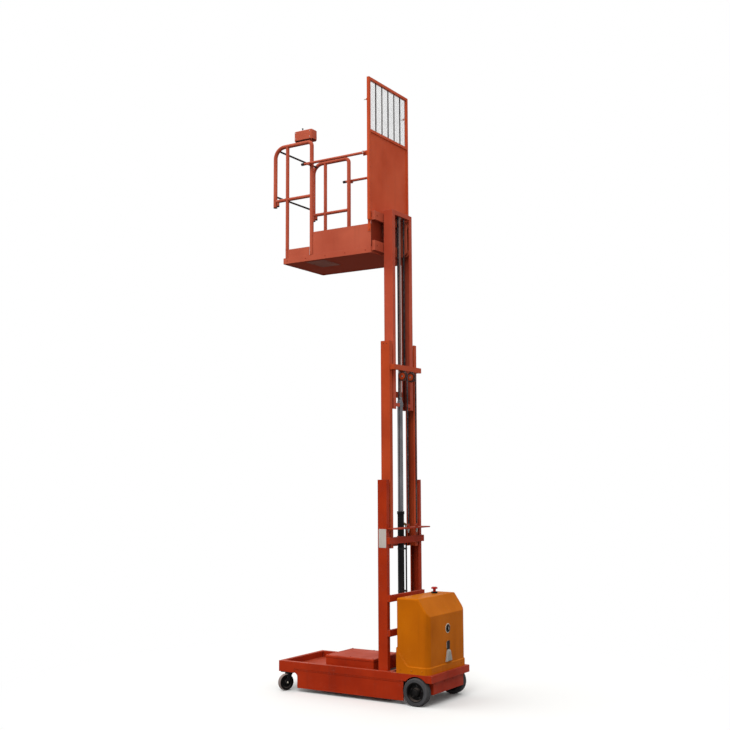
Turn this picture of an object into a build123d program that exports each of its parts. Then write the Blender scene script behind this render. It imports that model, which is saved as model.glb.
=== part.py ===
from build123d import *
import os
from math import cos, radians, sin

os.makedirs("parts", exist_ok=True)

# Order picker truck with its three-stage mast raised. Millimetres, +X forward, +Y left, +Z up.
# The origin is on the floor, under the middle of the overall length and width.

# Chassis
chassis_length = 1576
chassis_width = 690
guard_reach = 108  # how far the platform guard stands ahead of the chassis
chassis_front = (chassis_length - guard_reach) / 2
chassis_rear = chassis_front - chassis_length
half_width = chassis_width / 2
rail_top = 258
rail_depth = 60
front_depth = 94
rail_bottom = rail_top - rail_depth
front_bottom = rail_top - front_depth
front_rail_width = 40
rear_rail_width = 40
floor_drop = 52  # from the rail's top down to the floor plate
floor_plate = 6
floor_top = rail_top - floor_drop
floor_bottom = floor_top - floor_plate
skirt_clear = 34
skirt_plate = 6
skirt_inset = 4
skirt_setback = 202  # skirt's front edge behind the chassis front
skirt_corner = 36
front_member_length = skirt_setback - skirt_corner
rear_plate_inset = 24
rear_plate_clear = 95
rear_plate_thick = 8
plate_gap = 14  # between the rear lower plate and the wheels

# Rear wheels
wheel_radius = 115
wheel_width = 76
wheel_reach = 16  # wheels' outer side beyond the rails
wheel_outer = half_width + wheel_reach
hub_radius = 82
hub_setback = 6  # hub's lip inside the tyre's side
hub_lip = 8
hub_dish = 26
boss_radius = 30
boss_setback = 8
tyre_chamfer = 9
bead_chamfer = 2
axle_setback = 152  # axle ahead of the chassis rear
axle_x = chassis_rear + axle_setback
axle_pin_radius = 12.5
axle_bar = 40
running_clear = 0.05
wheel_gap = 6
arch_gap = 12
arch_radius = wheel_radius + arch_gap
hanger_thick = 10
hanger_drop = 34
hanger_reach = 60

# Casters
caster_radius = 72.5
caster_width = 38
caster_hub_radius = 57
caster_dish = 7
caster_boss = 16
caster_chamfer = 5
caster_nut_radius = 9
caster_nut_thick = 5
caster_trail = 34
caster_setback = 86
caster_x = chassis_front - caster_setback
caster_y = 305
caster_turn = 66.6  # heading of the caster, degrees from straight ahead
caster_pin_radius = 6
kingpin_radius = 10
crown_radius = 29
crown_thick = 6
fork_plate = 4
fork_side_gap = 5
fork_root = 24  # half the fork leg's width at its crown
fork_shoulder = 17
fork_foot = 10
fork_drop = 14
mount_plate = 6
mount_gap = 1.5
mount_side = 66
mount_edge = 2
housing_radius = 24

# Raised box ahead of the mast
box_setback = 423  # box's front face behind the chassis front
box_gap = 101  # between the box and the mast
box_half = 220
box_rise = 68  # lid above the rails
box_corner = 10
box_edge = 6
box_lid = 22
box_lid_edge = 3

# Mast
mast_setback = 542  # mast's front face ahead of the chassis rear
mast_front = chassis_rear + mast_setback
mast_depth = 92
mast_rear = mast_front - mast_depth
mast_half_width = 303
column_width = 45
stage_shift = 64.5
web = 8
flange = 9
stage_travel = 1220
mast_clear = 60
outer_height = 1821
stage_gap = 6
middle_height = 1824
inner_height = 1808
middle_bottom = mast_clear + stage_gap + stage_travel
middle_top = middle_bottom + middle_height
inner_bottom = middle_bottom + stage_travel
inner_top = inner_bottom + inner_height
rail_width = half_width - mast_half_width
roller_clear = 0.3
roller_radius = mast_depth / 2 - flange - roller_clear
roller_gap = 5
roller_edge = 2  # how far a roller stands inside its channel's lips
roller_pin = 14
roller_heights = (60, 330)
hole_drop = 25  # holes in the webs, below the middle columns' tops
hole_radius = 5
hole_half_pitch = 15
slide_gap = 6  # between a fixed bar and a moving column
bar_thick = 22
front_bar_thick = 12
base_plate = 12
middle_bar_rise = 6
middle_bar_height = 50
inner_bar_rise = 114
inner_bar_height = 54
inner_bar_thick = 12
top_bar_height = 40
# Outer cross members: lowest edge and height
rear_bars = [(206, 50), (544, 56), (835, 57)]

# Lifting cylinder
cylinder_setback = 54
cylinder_x = mast_front - cylinder_setback
barrel_radius = 29
barrel_bore = 25.5
barrel_height = 1540
barrel_top = mast_clear + barrel_height
barrel_floor = 12
gland_radius = 33
gland_height = 26
port_drop = 112  # below the barrel's head
port_radius = 10
port_reach = 44  # boss's end from the barrel's axis
plunger_radius = 25
plunger_bore = 18
plunger_rise = 109  # first plunger's head above the inner columns' feet
plunger_top = inner_bottom + plunger_rise
plunger_length = 1465
# Plunger head's outline: distance below its top, radius
plunger_head = [(80, 29.5), (48, 29.5), (20, 21), (0, 21)]
rod_radius = 17
rod_collar_radius = 26
rod_collar_height = 14
rod_overlap = 90  # length of the upper plunger inside the first one
rod_bottom = plunger_top - rod_overlap
clamp_radius = 36
clamp_drop = 246  # clamp's middle below the barrel's head
clamp_centre = barrel_top - clamp_drop
clamp_height = 56
clamp_neck = 40
clamp_ear = 15
clamp_ear_reach = 12

# Chains
seat_gap = 0.3
chain_spread = 86
chain_inset = 4
chain_front_x = mast_rear + chain_inset
chain_rear_x = chain_front_x - chain_spread
chain_y = 74
chain_width = 16
chain_thick = 9
sheave_radius = (chain_front_x - chain_rear_x - chain_thick) / 2 - seat_gap
sheave_x = (chain_front_x + chain_rear_x) / 2
sheave_drop = 310
sheave_z = middle_top - sheave_drop
sheave_groove = 1  # the groove's width beyond the chain's
sheave_flange = 2
sheave_flange_rise = 5
sheave_hub_radius = 15
sheave_pin = 8
sheave_dish = 5
cheek = 5
cheek_gap = 2
cheek_width = 24
cheek_tail = 16
anchor_rise = 42  # anchor plate above the clamp
anchor_z = clamp_centre + clamp_height + anchor_rise
anchor_thick = 11
anchor_block = 30
anchor_block_size = (16, 24)
anchor_margin = 14
anchor_side = 6
lift_chain_setback = 22
lift_chain_x = cylinder_x - lift_chain_setback
lift_chain_y = 50
lift_chain_width = 20
head_bar_drop = 236
head_bar_z = middle_top - head_bar_drop
head_bar_height = 46
head_bar_thick = 24
tongue_height = 16
tongue_margin = 8
lug_bottom = 24  # chain lugs above the inner columns' feet
lug_height = 30
chain_lug_thick = 10

# Platform
platform_gap = 41  # platform's rear edge ahead of the mast
platform_rear = mast_front + platform_gap
platform_length = 977
platform_front = platform_rear + platform_length
carriage_height = 1399  # platform's underside above the inner columns' feet
platform_bottom = inner_bottom + carriage_height
deck_depth = 55
deck_corner = 8
deck_recess = 6
deck_lip = 5
# Access plate under the deck: from the deck's rear edge, off the middle, length, width
hatch = (648, 143, 215, 290)
hatch_thick = 3
hatch_corner = 10
deck_top = platform_bottom + deck_depth
mat_thick = 4
mat_margin = 6
platform_half = 331
side_plate = 5
kick_height = 212
kick_inset = 2
kick_gap = 5
kick_lip = 12
kick_lip_thick = 4
toe_gap = 0.5
toe_height = 80
carriage_plate = 10
carriage_rise = 20  # lower beam above the platform's underside
lower_beam = 90
beam_spacing = 280
upper_beam = 80
side_height = 337
side_setback = 14  # side plates' rear edge ahead of the mast's rear
side_corner = 40
roller_inset = 40  # carriage rollers from the side plates' ends
beam_thick = platform_gap - slide_gap
tube_radius = 19
guard_y = platform_half + side_plate - tube_radius
guard_x = chassis_front + guard_reach - tube_radius
rear_post_setback = 319
front_post_setback = 38
post_rear_x = platform_front - rear_post_setback
post_front_x = platform_front - front_post_setback
guard_height = 1085
guard_top = deck_top + guard_height
middle_drop = 520
guard_middle = guard_top - middle_drop
hoop_tail = 59  # hoop's free end below the middle rail
guard_end = guard_middle - hoop_tail
hoop_radius = 105
post_bend = 42
post_radius = 17
middle_radius = 16
stub_radius = 11
stub_setback = 34
stub_rise = 8
# Front rails: behind the hoops, height from the top rail, height from the middle rail
front_rail_radius = 9
front_rail_setback = 46
front_rail_drop = 34
front_rail_rise = 50

# Control box on the top rail
control_length = 205
control_width = 96
control_groove = 11
control_inset = 9
control_height = 92
control_setback = 11  # box's rear end behind the rear post's axis
control_corner = 18
control_edge = 7

# Backrest
back_half = 350
back_rise = 245  # backrest's foot above the deck
panel_height = 814
mesh_height = 513
back_bottom = deck_top + back_rise
back_split = back_bottom + panel_height
back_top = back_split + mesh_height
back_depth = 25
back_tube = 25
panel_thick = 5
panel_setback = 8
upright_count = 5
upright_size = 8
wire_size = 4
wire_rows = 7
catch_height = 283  # catch for the raised entry bar, above the top rail
catch_radius = 9
catch_length = 15
catch_inset = 18
catch_tip_radius = 4
catch_tip_length = 25
gate_drop = 219  # entry bar below the top rail
gate_z = guard_top - gate_drop
gate_radius = 12.5
gate_gap = 5
gate_setback = 58
gate_pivot_x = platform_rear + gate_setback
gate_root = 12
gate_tip = 34
gate_notch = 2
gate_y = guard_y + tube_radius + gate_gap + gate_radius
lug_gap = 3
lug_thick = 8
lug_half = 22
lug_reach = 16
hook_width = 24
hook_thick = 6
hook_rise = 18
gate_reach = 690
gate_pin_radius = 6

# Power cover
cover_tail = 32
cover_length = 308
cover_rear = chassis_rear + cover_tail
cover_front = cover_rear + cover_length
cover_half = 337
cover_height = 622
cover_top = rail_top + cover_height
cover_slope_run = 100
cover_slope_x = cover_rear + cover_slope_run
cover_slope = 146  # height of the sloped rear edge
cover_slope_z = cover_top - cover_slope
cover_wall = 4
cover_round = 16
cover_corner = 46  # upright corners at the cover's rear
band_height = 62
band_out = 8
band_start = 106  # where the band starts to rise, behind the front
band_rise = 212
band_bend = 70
band_edge = 6
fitting_y = -8
key_drop = 271
key_radius = 34
key_lock = 22
fitting_thick = 5
slot_drop = 412
slot_width = 50
slot_height = 72
plug_drop = 501
# Charging plug's outline: half width at its top and foot, height, thickness, chamfer
plug_top = 22
plug_foot = 48
plug_height = 92
plug_thick = 20
plug_chamfer = 7
block_height = 440
block_gap = 30
stop_setback = 98  # emergency stop behind the cover's front
stop_y = -160
# Emergency stop's outline: height above the cover, radius
stop_outline = [(0, 26), (14, 26), (14, 13), (40, 13), (40, 28), (50, 28), (56, 20)]

# Hydraulic hose
hose_radius = 7
hose_offset = (-26, -48)  # from the barrel's axis
hose_bend = 9
ferrule_radius = 9.5
ferrule_length = 34
ferrule_drop = 14

sides = (("left", 1), ("right", -1))


# Chassis rails: four sides welded into one ring, the front one deeper
with BuildPart() as chassis_rails:
    with BuildSketch(Plane.XY.offset(rail_bottom)):
        with Locations(((chassis_front + chassis_rear) / 2, 0)):
            Rectangle(chassis_length, chassis_width)
        inner_length = chassis_length - front_rail_width - rear_rail_width
        inner_middle = (chassis_front - front_rail_width + chassis_rear + rear_rail_width) / 2
        with Locations((inner_middle, 0)):
            Rectangle(inner_length, chassis_width - 2 * rail_width, mode=Mode.SUBTRACT)
    extrude(amount=rail_depth)
    with BuildSketch(Plane.XY.offset(front_bottom)):
        with Locations((chassis_front - front_member_length / 2, 0)):
            Rectangle(front_member_length, chassis_width)
        with Locations((chassis_front - front_member_length / 2, 0)):
            Rectangle(front_member_length - 2 * skirt_plate, chassis_width - 2 * skirt_plate,
                      mode=Mode.SUBTRACT)
    extrude(amount=front_depth - rail_depth)
    with BuildSketch(Plane.XZ.offset(-half_width)):
        with Locations((axle_x, wheel_radius)):
            Circle(arch_radius)
    extrude(amount=chassis_width, mode=Mode.SUBTRACT)
chassis_rails.part.label = "chassis_rails"
export_step(chassis_rails.part, "parts/chassis_rails.step")

well_front = mast_front + 2 * slide_gap + front_bar_thick
well_rear = mast_rear - slide_gap

# Floor plate with the well that the mast stands in and the rear wheels' room
with BuildPart() as floor_sheet:
    with BuildSketch(Plane.XY.offset(floor_bottom)):
        with Locations((inner_middle, 0)):
            Rectangle(inner_length, chassis_width - 2 * rail_width)
        with Locations(((well_front + well_rear) / 2, 0)):
            Rectangle(well_front - well_rear, 2 * mast_half_width, mode=Mode.SUBTRACT)
        with Locations((axle_x, half_width), (axle_x, -half_width)):
            Rectangle(2 * arch_radius, 2 * (wheel_width + wheel_gap + skirt_inset), mode=Mode.SUBTRACT)
    extrude(amount=floor_plate)
floor_sheet.part.label = "floor_plate"
export_step(floor_sheet.part, "parts/floor_plate.step")

# Side skirts, cut round the rear wheels, each with a hollow round corner over its caster
skirt_front = chassis_front - skirt_setback
skirt_rear = axle_x + arch_radius - skirt_inset
corner_middle = skirt_corner * (1 - cos(radians(45)))
with BuildPart() as side_skirts:
    for side, sign in sides:
        outer_face = sign * (half_width - skirt_inset)
        with BuildSketch(Plane.XZ.offset(-outer_face)):
            with BuildLine():
                Polyline(
                    (skirt_front, skirt_clear),
                    (skirt_rear, skirt_clear),
                    (skirt_rear, rail_bottom),
                    (skirt_front + skirt_corner, rail_bottom),
                    (skirt_front + skirt_corner, front_bottom),
                )
                ThreePointArc(
                    (skirt_front + skirt_corner, front_bottom),
                    (skirt_front + corner_middle, front_bottom - corner_middle),
                    (skirt_front, front_bottom - skirt_corner),
                )
                Line((skirt_front, front_bottom - skirt_corner), (skirt_front, skirt_clear))
            make_face()
            with Locations((axle_x, wheel_radius)):
                Circle(arch_radius, mode=Mode.SUBTRACT)
        extrude(amount=sign * skirt_plate)
side_skirts.part.label = "side_skirts"
export_step(side_skirts.part, "parts/side_skirts.step")

# Rear lower plate between the wheels, with the two hangers that carry the axle
plate_half = wheel_outer - wheel_width - plate_gap
with BuildPart() as rear_plate:
    with BuildSketch(Plane.XY.offset(rear_plate_clear)):
        with Locations((chassis_rear + rear_plate_inset + rear_plate_thick / 2, 0)):
            Rectangle(rear_plate_thick, 2 * plate_half)
    extrude(amount=rail_bottom - rear_plate_clear)
    for side, sign in sides:
        with BuildSketch(Plane.XZ.offset(-sign * plate_half)):
            with BuildLine():
                Polyline(
                    (chassis_rear + rear_plate_inset + rear_plate_thick, rear_plate_clear),
                    (axle_x + hanger_drop, wheel_radius - hanger_drop),
                    (axle_x + hanger_reach, floor_bottom),
                    (chassis_rear + rear_rail_width, floor_bottom),
                    (chassis_rear + rear_rail_width, rail_bottom),
                    (chassis_rear + rear_plate_inset + rear_plate_thick, rail_bottom),
                    close=True,
                )
            make_face()
            with Locations((axle_x, wheel_radius)):
                Rectangle(axle_bar, axle_bar, mode=Mode.SUBTRACT)
        extrude(amount=sign * hanger_thick)
rear_plate.part.label = "rear_plate"
export_step(rear_plate.part, "parts/rear_plate.step")

# Raised box ahead of the mast
box_front = chassis_front - box_setback
box_length = box_front - mast_front - box_gap
box_top = rail_top + box_rise
with BuildPart() as raised_box:
    with BuildSketch(Plane.XY.offset(floor_top)):
        with Locations((box_front - box_length / 2, 0)):
            RectangleRounded(
                box_length - 2 * box_lid_edge,
                2 * (box_half - box_lid_edge),
                box_corner - box_lid_edge,
            )
    extrude(amount=box_top - box_lid - floor_top)
    with BuildSketch(Plane.XY.offset(box_top - box_lid)):
        with Locations((box_front - box_length / 2, 0)):
            RectangleRounded(box_length, 2 * box_half, box_corner)
    extrude(amount=box_lid)
    chamfer(raised_box.faces().sort_by(Axis.Z)[-1].edges(), box_edge)
raised_box.part.label = "raised_box"
export_step(raised_box.part, "parts/raised_box.step")

# Rear axle: a square bar with a round end in each wheel
wheel_inner = wheel_outer - wheel_width
with BuildPart() as rear_axle:
    with BuildSketch(Plane.XZ.offset(-(wheel_inner - wheel_gap))):
        with Locations((axle_x, wheel_radius)):
            Rectangle(axle_bar, axle_bar)
    extrude(amount=2 * (wheel_inner - wheel_gap))
    with BuildSketch(Plane.XZ.offset(-(wheel_outer - boss_setback))):
        with Locations((axle_x, wheel_radius)):
            Circle(axle_pin_radius)
    extrude(amount=2 * (wheel_outer - boss_setback))
rear_axle.part.label = "rear_axle"
export_step(rear_axle.part, "parts/rear_axle.step")

# Rear wheels, turned about the axle: hub with a dished face and a boss, tyre round it.
# Outlines: radius, distance from the wheel's inner side.
hub_face = wheel_width - hub_setback
hub_outline = [
    (axle_pin_radius + running_clear, 0),
    (hub_radius, 0),
    (hub_radius, hub_face),
    (hub_radius - hub_lip, hub_face),
    (hub_radius - 2 * hub_lip, hub_face - hub_dish),
    (boss_radius + hub_lip, hub_face - hub_dish),
    (boss_radius, wheel_width - boss_setback),
    (axle_pin_radius + running_clear, wheel_width - boss_setback),
]
tyre_outline = [
    (hub_radius, bead_chamfer),
    (wheel_radius - tyre_chamfer, 0),
    (wheel_radius, tyre_chamfer),
    (wheel_radius, wheel_width - tyre_chamfer),
    (wheel_radius - tyre_chamfer, wheel_width),
    (hub_radius, wheel_width - bead_chamfer),
]
for side, sign in sides:
    wheel_centre = (axle_x, sign * wheel_inner, wheel_radius)
    turning_plane = Plane(origin=wheel_centre, x_dir=(1, 0, 0), z_dir=(0, 0, 1))
    with BuildPart() as rear_hub:
        with BuildSketch(turning_plane):
            with BuildLine():
                Polyline(*[(radius, sign * out) for radius, out in hub_outline], close=True)
            make_face()
        revolve(axis=Axis(wheel_centre, (0, 1, 0)))
    rear_hub.part.label = "rear_hub_" + side
    export_step(rear_hub.part, "parts/rear_hub_" + side + ".step")
    with BuildPart() as rear_tyre:
        with BuildSketch(turning_plane):
            with BuildLine():
                Polyline(*[(radius, sign * out) for radius, out in tyre_outline], close=True)
            make_face()
        revolve(axis=Axis(wheel_centre, (0, 1, 0)))
    rear_tyre.part.label = "rear_tyre_" + side
    export_step(rear_tyre.part, "parts/rear_tyre_" + side + ".step")

# Caster mounts: a plate under the front member and a bearing housing above it
mount_y = half_width - mount_edge - mount_side / 2
with BuildPart() as caster_mounts:
    with BuildSketch(Plane.XY.offset(front_bottom - mount_plate)):
        with Locations((caster_x, mount_y), (caster_x, -mount_y)):
            Rectangle(2 * mount_side, mount_side)
    extrude(amount=mount_plate)
    with BuildSketch(Plane.XY.offset(front_bottom)):
        with Locations((caster_x, caster_y), (caster_x, -caster_y)):
            Circle(housing_radius)
    extrude(amount=rail_bottom - front_bottom)
    with BuildSketch(Plane.XY.offset(front_bottom - mount_plate)):
        with Locations((caster_x, caster_y), (caster_x, -caster_y)):
            Circle(kingpin_radius + running_clear)
    extrude(amount=rail_bottom - front_bottom + mount_plate, mode=Mode.SUBTRACT)
caster_mounts.part.label = "caster_mounts"
export_step(caster_mounts.part, "parts/caster_mounts.step")

# Casters: fork with kingpin, hub and tread, turned outwards as they were left
crown_top = front_bottom - mount_plate - mount_gap
crown_bottom = crown_top - crown_thick
leg_inner = caster_width / 2 + fork_side_gap
crown_length = 2 * (fork_root - mount_edge)
half_caster = caster_width / 2
caster_face = half_caster - caster_chamfer
# Outlines from the bore to the rim: radius, distance from the wheel's middle
caster_hub_outline = [
    (caster_pin_radius + running_clear, half_caster),
    (caster_boss, half_caster),
    (caster_boss + caster_dish, half_caster - caster_dish),
    (caster_hub_radius - 2 * caster_dish, half_caster - caster_dish),
    (caster_hub_radius - caster_dish, half_caster),
    (caster_hub_radius, half_caster),
]
tread_outline = [
    (caster_hub_radius, half_caster),
    (caster_radius - caster_chamfer, half_caster),
    (caster_radius, caster_face),
]
for side, sign in sides:
    roll = Vector(cos(radians(caster_turn)), sign * sin(radians(caster_turn)), 0)
    across = Vector(-roll.Y, roll.X, 0)
    pivot = Vector(caster_x, sign * caster_y, 0)
    hub_centre = pivot + roll * caster_trail + Vector(0, 0, caster_radius)
    side_plane = Plane(origin=hub_centre, x_dir=roll, z_dir=across)
    up = side_plane.y_dir.Z
    with BuildPart() as caster_fork:
        with BuildSketch(Plane.XY.offset(crown_bottom)):
            with Locations((pivot.X, pivot.Y)):
                Circle(crown_radius)
        extrude(amount=crown_thick)
        with BuildSketch(Plane.XY.offset(crown_top)):
            with Locations((pivot.X, pivot.Y)):
                Circle(kingpin_radius)
        extrude(amount=rail_bottom - crown_top - mount_edge)
        for leg in (1, -1):
            with BuildSketch(side_plane.offset(leg * leg_inner)):
                with BuildLine():
                    Polyline(
                        (-caster_trail - fork_root, up * (crown_top - caster_radius)),
                        (-caster_trail + fork_root, up * (crown_top - caster_radius)),
                        (fork_shoulder, up * fork_plate),
                        (fork_foot, up * -fork_drop),
                        (-fork_foot, up * -fork_drop),
                        (-fork_shoulder, up * fork_plate),
                        close=True,
                    )
                make_face()
            extrude(amount=leg * fork_plate)
            with BuildSketch(Plane(origin=pivot + Vector(0, 0, crown_bottom), x_dir=roll, z_dir=(0, 0, 1))):
                with Locations((0, leg * (leg_inner + fork_plate) / 2)):
                    Rectangle(crown_length, leg_inner + fork_plate)
            extrude(amount=crown_thick)
            with BuildSketch(side_plane.offset(leg * (leg_inner + fork_plate))):
                Circle(caster_nut_radius)
            extrude(amount=leg * caster_nut_thick)
        with BuildSketch(side_plane.offset(-leg_inner)):
            Circle(caster_pin_radius)
        extrude(amount=2 * leg_inner)
    caster_fork.part.label = "caster_fork_" + side
    export_step(caster_fork.part, "parts/caster_fork_" + side + ".step")
    turning_plane = Plane(origin=hub_centre, x_dir=roll, z_dir=(0, 0, 1))
    with BuildPart() as caster_hub:
        with BuildSketch(turning_plane):
            with BuildLine():
                Polyline(
                    *[(radius, out) for radius, out in caster_hub_outline],
                    *[(radius, -out) for radius, out in reversed(caster_hub_outline)],
                    close=True,
                )
            make_face()
        revolve(axis=Axis(hub_centre, across))
    caster_hub.part.label = "caster_hub_" + side
    export_step(caster_hub.part, "parts/caster_hub_" + side + ".step")
    with BuildPart() as caster_tread:
        with BuildSketch(turning_plane):
            with BuildLine():
                Polyline(
                    *[(radius, out) for radius, out in tread_outline],
                    *[(radius, -out) for radius, out in reversed(tread_outline)],
                    close=True,
                )
            make_face()
        revolve(axis=Axis(hub_centre, across))
    caster_tread.part.label = "caster_tread_" + side
    export_step(caster_tread.part, "parts/caster_tread_" + side + ".step")


def channel_outline(outer_y, sign):
    """Outline of one column, a channel open towards the mast's middle."""
    inner_y = outer_y - column_width
    return [
        (mast_front, sign * inner_y),
        (mast_front, sign * outer_y),
        (mast_rear, sign * outer_y),
        (mast_rear, sign * inner_y),
        (mast_rear + flange, sign * inner_y),
        (mast_rear + flange, sign * (outer_y - web)),
        (mast_front - flange, sign * (outer_y - web)),
        (mast_front - flange, sign * inner_y),
    ]


# Outer columns, fixed to the chassis
outer_y = mast_half_width
middle_y = outer_y - stage_shift
inner_y = middle_y - stage_shift
with BuildPart() as outer_columns:
    for side, sign in sides:
        with BuildSketch(Plane.XY.offset(mast_clear)):
            with BuildLine():
                Polyline(*channel_outline(outer_y, sign), close=True)
            make_face()
        extrude(amount=outer_height)
outer_columns.part.label = "outer_columns"
export_step(outer_columns.part, "parts/outer_columns.step")

# Outer cross members: flat bars behind the columns, the highest one carries the cylinder's clamp
cross_bars = rear_bars + [(clamp_centre - clamp_height / 2, clamp_height)]
bar_front = mast_rear - slide_gap
with BuildPart() as outer_crossbars:
    for lowest, height in cross_bars:
        with BuildSketch(Plane.XY.offset(lowest)):
            with Locations((bar_front - bar_thick / 2, 0)):
                Rectangle(bar_thick, 2 * outer_y)
            with Locations((bar_front + slide_gap / 2, outer_y - column_width / 2),
                           (bar_front + slide_gap / 2, -outer_y + column_width / 2)):
                Rectangle(slide_gap, column_width)
        extrude(amount=height)
    with BuildSketch(Plane.XY.offset(mast_clear - base_plate)):
        with Locations((mast_front - mast_depth / 2, 0)):
            Rectangle(mast_depth, 2 * outer_y)
    extrude(amount=base_plate)
outer_crossbars.part.label = "outer_crossbars"
export_step(outer_crossbars.part, "parts/outer_crossbars.step")

# Clamp that holds the cylinder to the upper cross member
with BuildPart() as cylinder_clamp:
    with BuildSketch(Plane.XY.offset(clamp_centre - clamp_height / 2)):
        with Locations((cylinder_x, 0)):
            Circle(clamp_radius)
        with Locations(((cylinder_x + bar_front) / 2, 0)):
            Rectangle(cylinder_x - bar_front, clamp_neck)
        with Locations((cylinder_x, 0)):
            Rectangle(clamp_ear, 2 * (clamp_radius + clamp_ear_reach))
            Circle(barrel_radius, mode=Mode.SUBTRACT)
    extrude(amount=clamp_height)
cylinder_clamp.part.label = "cylinder_clamp"
export_step(cylinder_clamp.part, "parts/cylinder_clamp.step")

# Anchor plate behind the outer columns, with the chains' end blocks
with BuildPart() as anchor_plate:
    with BuildSketch(Plane.XY.offset(anchor_z)):
        with Locations(((bar_front + chain_rear_x - anchor_margin) / 2, 0)):
            Rectangle(bar_front - chain_rear_x + anchor_margin, 2 * (outer_y - anchor_side))
        with Locations((bar_front + slide_gap / 2, outer_y - column_width / 2),
                       (bar_front + slide_gap / 2, -outer_y + column_width / 2)):
            Rectangle(slide_gap, column_width - 2 * anchor_side)
    extrude(amount=anchor_thick)
    with BuildSketch(Plane.XY.offset(anchor_z + anchor_thick)):
        with Locations((chain_rear_x, chain_y), (chain_rear_x, -chain_y)):
            Rectangle(*anchor_block_size)
    extrude(amount=anchor_block)
anchor_plate.part.label = "anchor_plate"
export_step(anchor_plate.part, "parts/anchor_plate.step")

# Cylinder barrel with its gland ring and oil port, standing on the mast's base plate
port_z = barrel_top - port_drop
port_turn = Vector(hose_offset[0], hose_offset[1], 0).normalized()
cylinder_axis = Axis((cylinder_x, 0, 0), (0, 0, 1))
with BuildPart() as cylinder_barrel:
    with BuildSketch(Plane.XY.offset(mast_clear)):
        with Locations((cylinder_x, 0)):
            Circle(barrel_radius)
    extrude(amount=barrel_top - mast_clear)
    with BuildSketch(Plane.XY.offset(barrel_top - gland_height)):
        with Locations((cylinder_x, 0)):
            Circle(gland_radius)
    extrude(amount=gland_height)
    with BuildSketch(Plane(origin=(cylinder_x, 0, port_z), x_dir=(0, 0, 1), z_dir=port_turn)):
        Circle(port_radius)
    extrude(amount=port_reach)
    with BuildSketch(Plane.XY.offset(mast_clear + barrel_floor)):
        with Locations((cylinder_x, 0)):
            Circle(barrel_bore)
    extrude(amount=barrel_top - mast_clear - barrel_floor, mode=Mode.SUBTRACT)
cylinder_barrel.part.label = "cylinder_barrel"
export_step(cylinder_barrel.part, "parts/cylinder_barrel.step")

# First plunger: a chromed tube with a tapered head
plunger_foot = plunger_top - plunger_length
with BuildPart() as first_plunger:
    with BuildSketch(Plane(origin=(cylinder_x, 0, 0), x_dir=(1, 0, 0), z_dir=(0, -1, 0))):
        with BuildLine():
            Polyline(
                (plunger_bore, plunger_foot),
                (plunger_radius, plunger_foot),
                (plunger_radius, plunger_top - plunger_head[0][0]),
                *[(radius, plunger_top - drop) for drop, radius in plunger_head],
                (plunger_bore, plunger_top),
                close=True,
            )
        make_face()
    revolve(axis=cylinder_axis)
first_plunger.part.label = "first_plunger"
export_step(first_plunger.part, "parts/first_plunger.step")

# Middle columns with the rollers that run in the outer channels
roller_x = mast_front - mast_depth / 2
with BuildPart() as middle_columns:
    for side, sign in sides:
        with BuildSketch(Plane.XY.offset(middle_bottom)):
            with BuildLine():
                Polyline(*channel_outline(middle_y, sign), close=True)
            make_face()
        extrude(amount=middle_height)
        with BuildSketch(Plane.XZ.offset(-sign * middle_y)):
            with Locations((roller_x - hole_half_pitch, middle_top - hole_drop),
                           (roller_x + hole_half_pitch, middle_top - hole_drop)):
                Circle(hole_radius)
        extrude(amount=sign * web, mode=Mode.SUBTRACT)
        for height in roller_heights:
            roller_plane = Plane(
                origin=(roller_x, sign * middle_y, middle_bottom + height),
                x_dir=(1, 0, 0),
                z_dir=(0, sign, 0),
            )
            with BuildSketch(roller_plane):
                Circle(roller_pin)
            extrude(amount=stage_shift - column_width + roller_edge)
            with BuildSketch(roller_plane.offset(stage_shift - column_width + roller_edge)):
                Circle(roller_radius)
            extrude(amount=column_width - web - roller_edge - roller_gap)
middle_columns.part.label = "middle_columns"
export_step(middle_columns.part, "parts/middle_columns.step")

# Middle cross members: the head bar that carries the chain wheels and the lower front bar
head_front = sheave_x + head_bar_thick / 2
tongue_front = lift_chain_x + tongue_margin
with BuildPart() as middle_crossbars:
    with BuildSketch(Plane.XY.offset(head_bar_z - head_bar_height / 2)):
        with Locations((sheave_x, 0)):
            Rectangle(head_bar_thick, 2 * middle_y)
        with Locations(((head_front + mast_rear) / 2, middle_y - column_width / 2),
                       ((head_front + mast_rear) / 2, -middle_y + column_width / 2)):
            Rectangle(mast_rear - head_front, column_width - 2 * slide_gap)
    extrude(amount=head_bar_height)
    with BuildSketch(Plane.XY.offset(head_bar_z - tongue_height / 2)):
        for side, sign in sides:
            with Locations(((head_front + tongue_front) / 2, sign * lift_chain_y)):
                Rectangle(tongue_front - head_front, lift_chain_width)
    extrude(amount=tongue_height)
    with BuildSketch(Plane.XY.offset(middle_bottom + middle_bar_rise)):
        with Locations((mast_front + slide_gap + front_bar_thick / 2, 0)):
            Rectangle(front_bar_thick, 2 * middle_y)
        with Locations((mast_front + slide_gap / 2, middle_y - column_width / 2),
                       (mast_front + slide_gap / 2, -middle_y + column_width / 2)):
            Rectangle(slide_gap, column_width)
    extrude(amount=middle_bar_height)
middle_crossbars.part.label = "middle_crossbars"
export_step(middle_crossbars.part, "parts/middle_crossbars.step")

# Chain wheels under the head bar: a grooved wheel turned about its pin, between two cheeks
groove_half = (chain_width + sheave_groove) / 2
sheave_half = groove_half + sheave_flange
flange_radius = sheave_radius + sheave_flange_rise
cheek_top = head_bar_z - head_bar_height / 2
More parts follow.
